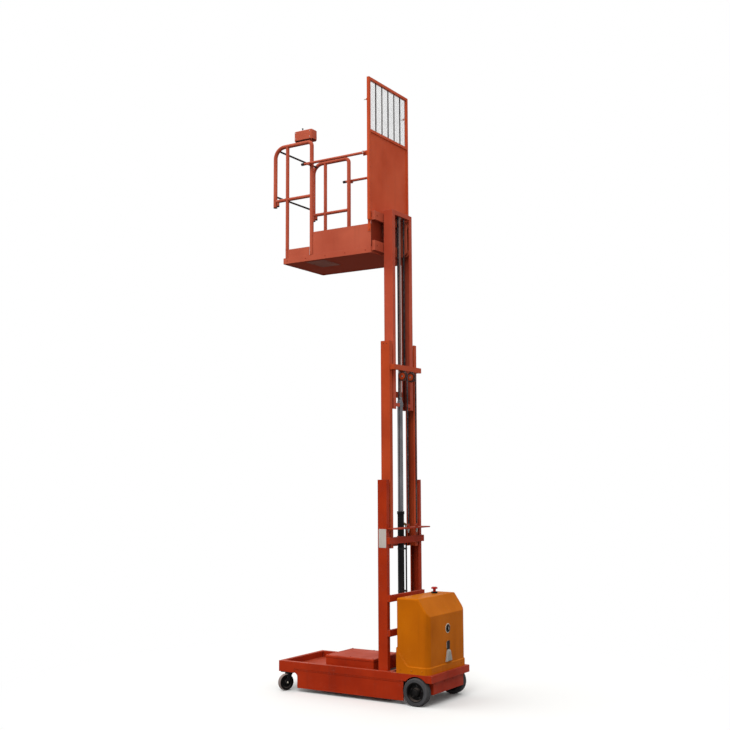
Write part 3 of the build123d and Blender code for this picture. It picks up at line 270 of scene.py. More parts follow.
def drawEdgeRub(tree, given):
    rounded = addNode(tree, "ShaderNodeBevel", Radius=given["Radius"])
    rounded.samples = 4
    flat = addNode(tree, "ShaderNodeNewGeometry").outputs["Normal"]
    along = addNode(tree, "ShaderNodeVectorMath", "DOT_PRODUCT", n0=rounded.outputs[0], n1=flat)
    edge = between(tree, along.outputs["Value"], 0.985, 0.86)
    patches = noiseMask(tree, 46, 0.44, 0.6, 6)
    return {"Mask": product(tree, edge, patches, given["Amount"]), "Normal": rounded.outputs[0]}


def drawDustVeil(tree, given):
    upward = facingMask(tree, 0.3, 1)
    patches = noiseMask(tree, 24, 0.05, 0.95, 7)
    return {"Mask": product(tree, upward, patches, given["Amount"])}


def drawFineGrain(tree, given):
    place = addNode(tree, "ShaderNodeTexCoord").outputs["Object"]
    spread = addNode(tree, "ShaderNodeCombineXYZ", X=1.0, Y=1.0, Z=given["Stretch"]).outputs[0]
    scaled = addNode(tree, "ShaderNodeVectorMath", "MULTIPLY", n0=place, n1=spread).outputs[0]
    noise = addNode(tree, "ShaderNodeTexNoise", Vector=scaled, Scale=given["Scale"], Detail=3)
    return {"Height": noise.outputs[0]}


def drawScuffs(tree, given):
    place = addNode(tree, "ShaderNodeTexCoord").outputs["Object"]
    wander = addNode(tree, "ShaderNodeTexNoise", Vector=place, Scale=5, Detail=2).outputs["Color"]
    bent = addNode(tree, "ShaderNodeVectorMath", "ADD", n0=place, n1=wander).outputs[0]
    cells = addNode(tree, "ShaderNodeTexVoronoi", Vector=bent, Scale=given["Scale"])
    cells.feature = "DISTANCE_TO_EDGE"
    lines = between(tree, cells.outputs["Distance"], 0.012, 0.002)
    patches = noiseMask(tree, 9, 0.52, 0.62, 4)
    return {"Mask": product(tree, lines, patches, given["Amount"])}


# Painted shade in channels and corners, darker where ambient occlusion finds the surface hidden
def drawRecessShade(tree, given):
    hidden = addNode(tree, "ShaderNodeAmbientOcclusion", Distance=given["Reach"])
    hidden.samples = 6
    hidden.only_local = True
    deep = between(tree, hidden.outputs["AO"], 0.86, 0.35)
    return {"Mask": product(tree, deep, given["Amount"])}


# Painted shade on faces that look down
def drawUndersideShade(tree, given):
    return {"Mask": product(tree, facingMask(tree, -0.4, -0.9), given["Amount"])}


def makeEffect(name, draw, numbers):
    group = bpy.data.node_groups.new(name, "ShaderNodeTree")
    for label, value in numbers.items():
        socket = group.interface.new_socket(name=label, in_out="INPUT", socket_type="NodeSocketFloat")
        socket.default_value = value
    made = draw(group, group.nodes.new("NodeGroupInput").outputs)
    for label in made:
        kind = "NodeSocketVector" if label == "Normal" else "NodeSocketFloat"
        group.interface.new_socket(name=label, in_out="OUTPUT", socket_type=kind)
    out = group.nodes.new("NodeGroupOutput")
    for label, source in made.items():
        group.links.new(source, out.inputs[label])
    return group


effectTable = (
    ("paintedRecessShade", drawRecessShade, {"Reach": 0.06, "Amount": 0.5}),
    ("paintedUndersideShade", drawUndersideShade, {"Amount": 0.5}),
    ("toneDrift", drawToneDrift, {"Scale": 3}),
    ("runMarks", drawRunMarks, {"Scale": 22, "Amount": 0.5}),
    ("edgeRub", drawEdgeRub, {"Radius": 0.003, "Amount": 0.8}),
    ("dustVeil", drawDustVeil, {"Amount": 0.4}),
    ("fineGrain", drawFineGrain, {"Scale": 420, "Stretch": 1}),
    ("scuffs", drawScuffs, {"Scale": 30, "Amount": 0.5}),
)
effects = {name: makeEffect(name, draw, numbers) for name, draw, numbers in effectTable}


def useEffect(tree, name, **values):
    node = tree.nodes.new("ShaderNodeGroup")
    node.node_tree = effects[name]
    for label, value in values.items():
        node.inputs[label].default_value = value
    return node.outputs


# One finish: two drifting tones, run marks, scuffs, painted shade in recesses and on faces that look down,
# rubbed edges and dust over a grained surface
plainFinish = {
    "drift": 3.0,
    "grime": (52, 30, 24),
    "grimeAmount": 0.35,
    "bare": (150, 120, 108),
    "rubRadius": 0.003,
    "rubAmount": 0.55,
    "scuffAmount": 0.3,
    "scuffScale": 26,
    "dust": (176, 158, 148),
    "dustAmount": 0.3,
    "rough": (0.34, 0.5),
    "metal": 0.0,
    # recess, recessReach, recessAmount: painted shade in channels and corners, its tone, reach and share
    "recess": (50, 26, 20),
    "recessReach": 0.05,
    "recessAmount": 0.0,
    # under, underAmount: painted shade on faces that look down, its tone and share
    "under": (156, 68, 52),
    "underAmount": 0.0,
    "sheen": 0.05,
    "grainScale": 420,
    "grainStretch": 1.0,
    "grainDepth": 0.00006,
}
colourParts = ("light", "deep", "grime", "bare", "dust", "recess", "under")


def makeFinish(name, changes):
    look = {**plainFinish, **changes}
    tones = {part: tone(*look[part]) for part in colourParts}
    material = bpy.data.materials.new(name)
    material.use_nodes = True
    tree = material.node_tree
    shader = tree.nodes["Principled BSDF"]
    shader.inputs["Metallic"].default_value = look["metal"]
    shader.inputs["Specular IOR Level"].default_value = look["sheen"]
    drift = useEffect(tree, "toneDrift", Scale=look["drift"])
    runs = useEffect(tree, "runMarks", Amount=look["grimeAmount"])
    rub = useEffect(tree, "edgeRub", Radius=look["rubRadius"], Amount=look["rubAmount"])
    scuff = useEffect(tree, "scuffs", Scale=look["scuffScale"], Amount=look["scuffAmount"])
    dust = useEffect(tree, "dustVeil", Amount=look["dustAmount"])
    colour = mixTone(tree, drift["Mask"], tones["light"], tones["deep"])
    colour = mixTone(tree, runs["Mask"], colour, tones["grime"])
    colour = mixTone(tree, scuff["Mask"], colour, tones["bare"])
    # Painted shade in channels and corners
    if look["recessAmount"]:
        recess = useEffect(tree, "paintedRecessShade", Reach=look["recessReach"], Amount=look["recessAmount"])
        colour = mixTone(tree, recess["Mask"], colour, tones["recess"])
    colour = mixTone(tree, rub["Mask"], colour, tones["bare"])
    colour = mixTone(tree, dust["Mask"], colour, tones["dust"])
    smooth, dull = look["rough"]
    rough = addNode(tree, "ShaderNodeMapRange", Value=drift["Mask"], To_Min=smooth, To_Max=dull)
    rough = combine(tree, "ADD", rough.outputs[0], dust["Mask"])
    # Painted shade on faces that look down, which also makes them rougher
    if look["underAmount"]:
        under = useEffect(tree, "paintedUndersideShade", Amount=look["underAmount"])
        colour = mixTone(tree, under["Mask"], colour, tones["under"])
        rough = combine(tree, "ADD", rough, under["Mask"])
    tree.links.new(colour, shader.inputs["Base Color"])
    tree.links.new(rough, shader.inputs["Roughness"])
    grain = useEffect(tree, "fineGrain", Scale=look["grainScale"], Stretch=look["grainStretch"])
    carved = combine(tree, "SUBTRACT", grain["Height"], scuff["Mask"])
    bump = addNode(tree, "ShaderNodeBump", Height=carved, Normal=rub["Normal"], Distance=look["grainDepth"])
    tree.links.new(bump.outputs[0], shader.inputs["Normal"])
    return material


# Tones in display values from 0 to 255; what isn't named here is as in the plain finish. recessAmount and
# underAmount set the painted shade in recesses and on faces that look down
finishes = {
    "chassisPaint": {
        "light": (166, 48, 18), "deep": (148, 38, 13), "dust": (190, 124, 96), "dustAmount": 0.24,
        "rubAmount": 0.8, "recessAmount": 0.5, "underAmount": 0.6,
    },
    "outerMastPaint": {
        "light": (168, 50, 16), "deep": (150, 40, 13), "recessAmount": 0.75, "recessReach": 0.12,
    },
    "middleMastPaint": {
        "light": (187, 72, 34), "deep": (169, 60, 27), "recessAmount": 0.85, "recessReach": 0.12,
    },
    "innerMastPaint": {
        "light": (194, 84, 58), "deep": (176, 70, 48), "recessAmount": 0.9, "recessReach": 0.12,
    },
    "platformPaint": {
        "light": (193, 93, 68), "deep": (177, 79, 56), "grimeAmount": 0.2, "underAmount": 0.85,
        "recessAmount": 0.4, "recessReach": 0.03,
    },
    "backrestPaint": {"light": (206, 84, 44), "deep": (192, 72, 36), "grimeAmount": 0.2},
    "coverMoulding": {
        "light": (192, 103, 9), "deep": (176, 91, 9), "grime": (96, 54, 8), "bare": (222, 160, 70),
        "dust": (206, 142, 20), "grimeAmount": 0.3, "rubAmount": 0.4, "dustAmount": 0.2,
        "rough": (0.3, 0.44), "sheen": 0.02, "grainScale": 900, "grainDepth": 0.0001,
    },
    "blackEnamel": {
        "light": (34, 34, 36), "deep": (22, 22, 24), "grime": (58, 52, 46), "bare": (120, 118, 116),
        "rubAmount": 0.5, "dustAmount": 0.25, "rough": (0.3, 0.45),
    },
    "brightSteel": {
        "light": (176, 176, 180), "deep": (140, 140, 146), "grime": (70, 64, 58), "bare": (205, 205, 208),
        "metal": 1.0, "rough": (0.28, 0.42), "grainStretch": 0.08, "dustAmount": 0.1,
    },
    "hardChrome": {
        "light": (118, 118, 121), "deep": (94, 94, 98), "grime": (48, 46, 44), "bare": (190, 190, 196),
        "metal": 1.0, "rough": (0.12, 0.22), "grimeAmount": 0.3, "rubAmount": 0.0, "scuffAmount": 0.1,
        "dustAmount": 0.0, "grainDepth": 0.00001,
    },
    # Upper rod: its dark brownish tones are a painted reflection of the dark surroundings on the steel
    "rodSteel": {
        "light": (128, 98, 90), "deep": (106, 78, 72), "grime": (44, 30, 26), "bare": (150, 128, 118),
        "metal": 0.8, "rough": (0.2, 0.32), "grimeAmount": 0.4, "rubAmount": 0.0, "scuffAmount": 0.1,
        "dustAmount": 0.0, "grainDepth": 0.00001,
    },
    "wheelIron": {
        "light": (104, 70, 62), "deep": (74, 46, 42), "grime": (40, 26, 22), "bare": (170, 160, 154),
        "metal": 0.5, "rough": (0.35, 0.5), "grimeAmount": 0.5, "rubRadius": 0.0015, "rubAmount": 0.9,
    },
    "oiledChain": {
        "light": (52, 48, 52), "deep": (28, 25, 28), "grime": (30, 22, 18), "bare": (120, 118, 120),
        "metal": 0.9, "rough": (0.3, 0.5), "grimeAmount": 0.7, "dustAmount": 0.1,
    },
    "tyreCompound": {
        "light": (72, 72, 74), "deep": (56, 56, 58), "grime": (96, 92, 88), "bare": (96, 94, 92),
        "dust": (110, 104, 98), "grimeAmount": 0.4, "rubAmount": 0.7, "scuffAmount": 0.5,
        "rough": (0.7, 0.85), "grainScale": 700, "grainDepth": 0.0003,
    },
    "casterTread": {
        "light": (150, 136, 132), "deep": (122, 108, 104), "grime": (70, 62, 58), "bare": (172, 162, 158),
        "grimeAmount": 0.6, "scuffAmount": 0.5, "rough": (0.55, 0.7), "grainScale": 600,
        "grainDepth": 0.0002,
    },
    "hubMoulding": {
        "light": (22, 21, 21), "deep": (13, 12, 12), "grime": (46, 42, 38), "bare": (64, 62, 60),
        "rough": (0.42, 0.58), "grainDepth": 0.0001,
    },
    "hoseCover": {
        "light": (30, 30, 31), "deep": (18, 18, 19), "grime": (60, 54, 48), "bare": (64, 62, 60),
        "rough": (0.5, 0.65), "rubAmount": 0.2,
    },
    "stopMushroom": {
        "light": (178, 24, 16), "deep": (158, 18, 12), "bare": (206, 90, 80), "rough": (0.22, 0.32),
        "rubAmount": 0.25, "grimeAmount": 0.1,
    },
    "socketGrey": {
        "light": (168, 166, 160), "deep": (146, 144, 138), "grime": (84, 78, 68), "bare": (196, 194, 190),
        "rough": (0.4, 0.55), "rubAmount": 0.3,
    },
    "matRubber": {
        "light": (46, 46, 48), "deep": (30, 30, 32), "grime": (92, 84, 76), "bare": (84, 82, 80),
        "dust": (128, 120, 110), "grimeAmount": 0.5, "dustAmount": 0.6, "rough": (0.7, 0.85),
        "grainScale": 520, "grainDepth": 0.0003,
    },
    "zincWire": {
        "light": (196, 198, 198), "deep": (170, 172, 174), "grime": (120, 112, 104),
        "bare": (226, 226, 226), "metal": 0.7, "rough": (0.35, 0.5),
    },
    "darkRod": {"light": (50, 34, 32), "deep": (34, 24, 23), "grime": (30, 22, 20), "bare": (130, 110, 102)},
    "plateAlloy": {
        "light": (190, 180, 172), "deep": (166, 157, 150), "grime": (110, 100, 92),
        "bare": (214, 212, 210), "metal": 0.6, "rough": (0.35, 0.5), "grainStretch": 0.06, "scuffAmount": 0.5,
    },
    "zincFastener": {
        "light": (178, 176, 170), "deep": (140, 138, 134), "grime": (84, 70, 58), "bare": (206, 204, 200),
        "metal": 0.85, "rough": (0.3, 0.46), "rubRadius": 0.0008,
    },
    "paintedFastener": {
        "light": (160, 48, 20), "deep": (140, 38, 16), "rubRadius": 0.0012, "rubAmount": 0.9,
    },
    "darkFastener": {
        "light": (48, 47, 48), "deep": (30, 30, 31), "grime": (70, 58, 48), "bare": (128, 124, 120),
        "metal": 0.6, "rubRadius": 0.0012,
    },
    "slotBlack": {
        "light": (26, 20, 18), "deep": (15, 12, 11), "grime": (54, 44, 38), "bare": (70, 64, 60),
        "rough": (0.4, 0.55), "rubRadius": 0.001, "rubAmount": 0.3,
    },
    "capRubber": {
        "light": (30, 29, 29), "deep": (19, 18, 18), "grime": (66, 60, 56), "bare": (74, 70, 68),
        "rough": (0.55, 0.7), "rubRadius": 0.001, "rubAmount": 0.3, "grainScale": 900,
    },
    "bezelSilver": {
        "light": (206, 198, 180), "deep": (182, 174, 158), "grime": (120, 104, 80),
        "bare": (220, 216, 208), "metal": 0.4, "rough": (0.3, 0.42), "rubRadius": 0.0008,
    },
    # Closing sheet: darker than the platform paint, painted shade between the carriage beams
    "sheetPaintedShade": {"light": (132, 48, 30), "deep": (112, 38, 24), "dustAmount": 0.1},
    "hatchPrimer": {
        "light": (146, 92, 80), "deep": (130, 80, 70), "grime": (84, 54, 46), "bare": (150, 116, 106),
        "rough": (0.7, 0.85),
    },
    "buttonGreen": {
        "light": (30, 116, 58), "deep": (22, 96, 46), "bare": (110, 160, 124), "rough": (0.25, 0.35),
        "rubRadius": 0.001, "grimeAmount": 0.1,
    },
    "buttonWhite": {
        "light": (206, 204, 198), "deep": (188, 186, 180), "grime": (140, 130, 118),
        "bare": (222, 220, 216), "rough": (0.25, 0.35), "rubRadius": 0.001, "grimeAmount": 0.2,
    },
    "brassFitting": {
        "light": (168, 134, 70), "deep": (134, 100, 50), "grime": (60, 46, 26), "bare": (202, 176, 112),
        "metal": 1.0, "rough": (0.3, 0.45),
    },
}
paints = {name: makeFinish(name, changes) for name, changes in finishes.items()}

nodeFinish = {
    "chassisPaint": ["chassis_rails", "floor_plate", "side_skirts", "rear_plate", "raised_box"],
    "outerMastPaint": ["outer_columns", "outer_crossbars", "cylinder_clamp", "anchor_plate"],
    "middleMastPaint": ["middle_columns", "middle_crossbars"],
    "innerMastPaint": ["inner_columns", "inner_crossbars"],
    "platformPaint": ["carriage", "platform_deck", "kick_plates", "guard_frames", "control_box",
                      "gate_bar_left", "gate_bar_right"],
    "backrestPaint": ["backrest_frame", "backrest_panel"],
    "coverMoulding": ["power_cover"],
    "blackEnamel": ["rear_axle", "caster_mounts", "cylinder_barrel", "power_block", "caster_fork_left",
                    "caster_fork_right"],
    "wheelIron": ["chain_wheels"],
    "hardChrome": ["first_plunger"],
    "rodSteel": ["upper_plunger"],
    "oiledChain": ["outer_chains", "inner_chains", "carriage_chains"],
    "tyreCompound": ["rear_tyre_left", "rear_tyre_right"],
    "casterTread": ["caster_tread_left", "caster_tread_right"],
    "hubMoulding": ["rear_hub_left", "rear_hub_right", "caster_hub_left", "caster_hub_right"],
    "hoseCover": ["hydraulic_hose"],
    "stopMushroom": ["stop_button"],
    "socketGrey": ["cover_fittings"],
    "matRubber": ["floor_mat"],
    "zincWire": ["backrest_mesh"],
    "darkRod": ["front_rails"],
}
foldAngle = 32  # degrees from which an edge of the frame's pieces is sharp
for finish, names in nodeFinish.items():
    for name in names:
        nodes[name].data.materials.clear()
        nodes[name].data.materials.append(paints[finish])
        nodes[name].data.set_sharp_from_angle(angle=radians(foldAngle))
print("finishes made:", len(paints))


# Builders: each adds one form to a piece's mesh, placed by a matrix whose third axis is the form's own


def placed(origin, along=up, across=None):
    third = Vector(along).normalized()
    first = Vector(across) if across else third.orthogonal()
    first -= third * third.dot(first)
    first.normalize()
    second = third.cross(first)
    return Matrix.Translation(origin) @ Matrix((first, second, third)).transposed().to_4x4()


def ringOf(radius, steps, start=0.0):
    turns = [start + 2 * pi * step / steps for step in range(steps)]
    return [(radius * cos(turn), radius * sin(turn)) for turn in turns]


def roundedPlate(wide, high, corner, steps=4):
    outline = []
    for quarter, (x, y) in enumerate(((1, 1), (-1, 1), (-1, -1), (1, -1))):
        middleX, middleY = x * (wide / 2 - corner), y * (high / 2 - corner)
        for step in range(steps + 1):
            turn = pi / 2 * (quarter + step / steps)
            outline.append((middleX + corner * cos(turn), middleY + corner * sin(turn)))
    return outline


def addRings(shape, place, rings, closed=False):
    rows = [[shape.verts.new(place @ Vector(point)) for point in ring] for ring in rings]
    pairs = list(zip(rows, rows[1:]))
    if closed:
        pairs.append((rows[-1], rows[0]))
    for lower, upper in pairs:
        for index in range(len(lower)):
            after = (index + 1) % len(lower)
            shape.faces.new((lower[index], lower[after], upper[after], upper[index]))
    if not closed:
        shape.faces.new(tuple(reversed(rows[0])))
        shape.faces.new(rows[-1])


# A plate with its outline shrunk by edge at both faces
def addPrism(shape, place, outline, thick, edge=0.0):
    reach = max(max(abs(u), abs(v)) for u, v in outline)
    inner = 1 - edge / reach
    levels = [(1, 0), (1, thick)]
    if edge:
        levels = [(inner, 0), (1, edge), (1, thick - edge), (inner, thick)]
    addRings(shape, place, [[(u * share, v * share, level) for u, v in outline] for share, level in levels])


# Profile: radius, distance along the axis
def addTurned(shape, place, profile, steps=24, closed=False):
    tip = 0.00002  # a point's radius, so that the last ring keeps its vertices apart
    rings = [[(u, v, out) for u, v in ringOf(max(radius, tip), steps)] for radius, out in profile]
    addRings(shape, place, rings, closed)


def addTube(shape, points, radius, steps=8):
    line = [Vector(point) for point in points]
    side = (line[1] - line[0]).orthogonal().normalized()
    rings = []
    for index, point in enumerate(line):
        before = line[max(index - 1, 0)]
        after = line[min(index + 1, len(line) - 1)]
        along = (after - before).normalized()
        side = (side - along * side.dot(along)).normalized()
        other = along.cross(side)
        size = radius(index / (len(line) - 1)) if callable(radius) else radius
        rings.append([point + side * u * size + other * v * size for u, v in ringOf(1, steps)])
    addRings(shape, Matrix.Identity(4), rings)


# Hexagon head on a washer; size is the thread's diameter
def addBolt(shape, origin, along, size=0.008):
    place = placed(origin, along)
    addTurned(shape, place, [(size, -0.0004), (size * 1.02, size * 0.08), (size * 0.98, size * 0.16)], 16)
    outline = ringOf(size * 0.88, 6, pi / 6)
    addPrism(shape, place @ Matrix.Translation((0, 0, size * 0.1)), outline, size * 0.64, size * 0.08)


def addRivet(shape, origin, along, size=0.004):
    profile = [(size, -0.0003), (size * 0.9, size * 0.3), (size * 0.55, size * 0.56), (0, size * 0.66)]
    addTurned(shape, placed(origin, along), profile, 12)


# Socket screw: low head with a hexagon recess
def addScrew(shape, origin, along, size=0.005):
    levels = ((1, -0.0003), (1, size * 0.45), (0.86, size * 0.62), (0.42, size * 0.62), (0.4, size * 0.3))
    rings = [[(u, v, high) for u, v in ringOf(size * share, 12)] for share, high in levels]
    addRings(shape, placed(origin, along), rings)


# Weld bead: a tube whose radius swells in small even ripples
def addBead(shape, start, end, size=0.0022, ripple=0.006):
    start, end = Vector(start), Vector(end)
    count = max(int((end - start).length / ripple) * 2, 2)
    points = [start.lerp(end, step / count) for step in range(count + 1)]
    addTube(shape, points, lambda share: size * (1 + 0.2 * cos(pi * count * share)), 6)


def addBeadRing(shape, centre, along, radius, size=0.002, ripples=14):
    rings = []
    for step in range(2 * ripples):
        turn = pi * step / ripples
        swell = size * (1 + 0.2 * cos(pi * step))
        out = Vector((cos(turn), sin(turn), 0))
        rings.append([out * (radius + swell * u) + Vector((0, 0, swell * v)) for u, v in ringOf(1, 6)])
    addRings(shape, placed(centre, along), rings, closed=True)


def finishPiece(shape, name, body, paint, slot, replaced=(), sharp=35):
    bmesh.ops.recalc_face_normals(shape, faces=shape.faces)
    mesh = bpy.data.meshes.new(name)
    shape.to_mesh(mesh)
    shape.free()
    mesh.polygons.foreach_set("use_smooth", [True] * len(mesh.polygons))
    mesh.set_sharp_from_angle(angle=radians(sharp))
    mesh.materials.append(paints[paint])
    piece = bpy.data.objects.new(name, mesh)
    bpy.context.scene.collection.objects.link(piece)
    if replaced:
        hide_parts(*replaced)
    if body:
        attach(piece, body)
    return piece


# A piece that is one kind of fastener at several spots, each an origin and a direction
def fasten(spots, add, size, *named):
    shape = bmesh.new()
    for origin, along in spots:
        add(shape, origin, along, size)
    finishPiece(shape, *named)


# Leaf chains: plates in turns on pins, in straight strands and round the chain wheels

chainLook = {
    "pitch": 0.0127,
    "plateHalf": 0.0042,
    "plateThick": 0.0021,
    "plateWaist": 0.0014,
    "pinRadius": 0.0018,
    "pinOver": 0.0007,
    "pinEdge": 0.0004,
    "rows": 6,
    "lacing": ((0, 2, 4), (1, 3, 5)),
    "widths": {"outer_chains": 0.015, "inner_chains": 0.015, "carriage_chains": 0.019},
    "riders": {
        "outer_chains": ("chassis", "mast_stage_one"),
        "carriage_chains": ("middle_mast", "mast_stage_two"),
    },
    "stageTravel": 1.22,
    "sideInset": 0.0005,
    "wrapLinks": 10,
}


def addChainLink(shape, middle, along, wide, index, pitch, look):
    half, thick, over = look["plateHalf"], look["plateThick"], look["pinOver"]
    reach = pitch / 2 + half * 0.8
    quarter = [(reach, 0), (reach - half * 0.25, half * 0.66), (reach - half * 0.8, half)]
    quarter.append((look["plateWaist"], half * 0.66))
    upper = quarter + [(-u, v) for u, v in reversed(quarter)]
    outline = upper + [(u, -v) for u, v in reversed(upper[1:-1])]
    across = Vector((0, 1, 0))
    step = (wide - thick) / (look["rows"] - 1)
    for row in look["lacing"][index % 2]:
        out = row * step - wide / 2
        addPrism(shape, placed(middle + across * out, across, along), outline, thick * 0.86)
    place = placed(middle + along * pitch / 2 - across * (wide / 2 + over), across, along)
    addPrism(shape, place, ringOf(look["pinRadius"], 8), wide + 2 * over, look["pinEdge"])


def strandEnds(node, side):
    low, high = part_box(node)
    middle = (low[0] + high[0]) / 2
    y = side * (high[1] - chainLook["widths"][node] / 2 - chainLook["sideInset"])
    return Vector((middle, y, low[2])), Vector((middle, y, high[2]))


look = chainLook
for node, wide in look["widths"].items():
    shape = bmesh.new()
    for side in mirrored:
        low, high = strandEnds(node, side)
        tall = high.z - low.z
        count = round(tall / look["pitch"])
        for index in range(count):
            middle = low.lerp(high, (index + 0.5) / count)
            addChainLink(shape, middle, Vector(up), wide, index, tall / count, look)
    body, joint = look["riders"].get(node, (None, None))
    name = node.replace("_chains", "ChainLinks")
    strand = finishPiece(shape, name, body, "oiledChain", "chain_steel", [node])
    if joint:
        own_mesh(strand)
    else:
        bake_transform(strand)

outerFoot, outerHead = strandEnds("outer_chains", 1)
innerHead = strandEnds("inner_chains", 1)[1]
liftFoot = strandEnds("carriage_chains", 1)[0]
wrapRadius = (innerHead.x - outerHead.x) / 2
wheelCentre = Vector(((innerHead.x + outerHead.x) / 2, 0, outerHead.z))
shape = bmesh.new()
count = look["wrapLinks"]
wrapPitch = 2 * wrapRadius * sin(pi / count / 2)
for side in mirrored:
    for index in range(count):
        turn = pi * (index + 0.5) / count
        out = Vector((cos(turn), 0, sin(turn)))
        middle = wheelCentre + out * wrapRadius + Vector((0, side * outerHead.y, 0))
        along = Vector((-sin(turn), 0, cos(turn)))
        addChainLink(shape, middle, along, look["widths"]["outer_chains"], index, wrapPitch, look)
finishPiece(shape, "chainWraps", "middle_mast", "oiledChain", "chain_steel")


# Chain ends: threaded studs with two nuts under the anchor plate, clevis pins, clips and discs on the wheels

anchorLook = {
    "studRadius": 0.005,
    "studLength": 0.036,
    "studEdge": 0.001,
    "nutSize": 0.0094,
    "nutThick": 0.0076,
    "nutEdge": 0.0008,
    "nutDrops": (0.0118, 0.0212),
    "washer": [(0.0118, 0), (0.0118, 0.002)],
    "pinRadius": 0.004,
    "pinEdge": 0.0006,
    "pinDrop": 0.009,
    "pinReach": 0.0152,
    "clip": [(0.0078, -0.003), (0.0098, -0.0024), (0.0098, -0.0006), (0.0066, 0.0002), (0.0066, 0.0016),
             (0.005, 0.0022)],
    "disc": [(0.0298, -0.0003), (0.0302, 0.0006), (0.029, 0.0012), (0.0108, 0.0008), (0.0106, -0.0003)],
}
look = anchorLook
plateLow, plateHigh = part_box("anchor_plate")
shape = bmesh.new()
for side in mirrored:
    top = Vector((outerFoot.x, side * outerFoot.y, plateLow[2]))
    radius, length = look["studRadius"], look["studLength"]
    stud = [(radius, 0), (radius, length - look["studEdge"]), (radius * 0.8, length)]
    addTurned(shape, placed(top, down), stud, 12)
    addTurned(shape, placed(top, down), look["washer"], 18)
    for drop in look["nutDrops"]:
        start = top - Vector((0, 0, drop - look["nutThick"]))
        addPrism(shape, placed(start, down), ringOf(look["nutSize"], 6), look["nutThick"], look["nutEdge"])
    pinEnd = Vector((outerFoot.x, side * outerFoot.y - look["pinReach"], plateHigh[2] - look["pinDrop"]))
    radius, length, edge = look["pinRadius"], 2 * look["pinReach"], look["pinEdge"]
    profile = [(radius * 0.8, 0), (radius, edge), (radius, length - edge), (radius * 0.8, length)]
    addTurned(shape, placed(pinEnd, (0, 1, 0)), profile, 12)
finishPiece(shape, "anchorStuds", "chassis", "zincFastener", "bare_steel")

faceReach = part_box("chain_wheels")[1][1] - outerHead.y


# The same turned form on both faces of both chain wheels
def addOnWheels(shape, profile, steps, closed=False):
    for side in mirrored:
        for face in (1, -1):
            end = wheelCentre + Vector((0, side * outerHead.y + face * faceReach, 0))
            addTurned(shape, placed(end, (0, face, 0)), profile, steps, closed)


shape = bmesh.new()
addOnWheels(shape, look["clip"], 20)
finishPiece(shape, "wheelPinClips", "middle_mast", "zincFastener", "bare_steel")
shape = bmesh.new()
addOnWheels(shape, look["disc"], 40, closed=True)
finishPiece(shape, "wheelSideDiscs", "middle_mast", "middleMastPaint", "mast_paint")
print("chains laid")


# Mast: weld beads where bars and feet meet the columns, a blank plate

mastLook = {
    "beadSize": 0.0024,
    "bars": ((0.206, 0.256), (0.544, 0.600), (0.835, 0.892), (1.326, 1.382)),
    "barInset": 0.002,
    "jointX": -0.3952,
    "topInsets": (0.042, 0.004),
    "topBehind": 0.002,
    "sideInset": 0.0006,
    "footX": (-0.388, -0.304),
    "footZ": 0.061,
    "middleZ": (2.897, 2.851),
    "middleY": (0.205, 0.236),
    "middleBehind": 0.0008,
    "plateX": -0.347,
    "plateZ": 1.3745,
    "plateSize": (0.076, 0.161),
    "plateCorner": 0.005,
    "plateThick": 0.0014,
    "plateEdge": 0.0004,
    "rivetInset": 0.007,
    "rivetSize": 0.0028,
}
look = mastLook
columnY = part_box("outer_columns")[1][1]
bead = look["beadSize"]
shape = bmesh.new()
for side in mirrored:
    x, y = look["jointX"], side * (columnY - look["sideInset"])
    for low, high in look["bars"]:
        addBead(shape, (x, y, low + look["barInset"]), (x, y, high - look["barInset"]), bead)
        start, end = [(x - look["topBehind"], side * (columnY - inset), high) for inset in look["topInsets"]]
        addBead(shape, start, end, bead)
    rear, front = look["footX"]
    addBead(shape, (rear, y, look["footZ"]), (front, y, look["footZ"]), bead)
finishPiece(shape, "outerMastWelds", "chassis", "outerMastPaint", "mast_paint", sharp=60)

shape = bmesh.new()
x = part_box("middle_columns")[0][0] - look["middleBehind"]
for side in mirrored:
    for high in look["middleZ"]:
        start, end = [(x, side * y, high) for y in look["middleY"]]
        addBead(shape, start, end, bead)
finishPiece(shape, "middleMastWelds", "middle_mast", "middleMastPaint", "mast_paint", sharp=60)

shape = bmesh.new()
wide, high = look["plateSize"]
plateCentre = Vector((look["plateX"], columnY, look["plateZ"]))
outline = roundedPlate(wide, high, look["plateCorner"])
addPrism(shape, placed(plateCentre, (0, 1, 0), ahead), outline, look["plateThick"], look["plateEdge"])
finishPiece(shape, "blankPlate", "chassis", "plateAlloy", "bare_steel")
acrossPlate, upPlate = wide / 2 - look["rivetInset"], high / 2 - look["rivetInset"]
corners = [(1, 1), (-1, 1), (-1, -1), (1, -1)]
out = (0, 1, 0)
spots = [(plateCentre + Vector((x * acrossPlate, look["plateThick"], z * upPlate)), out) for x, z in corners]
fasten(spots, addRivet, look["rivetSize"], "plateRivets", "chassis", "zincFastener", "bare_steel")


# Cylinder: straps that hold the hose to the barrel, clamp bolts, brass port nut, hose sleeves, gland screws

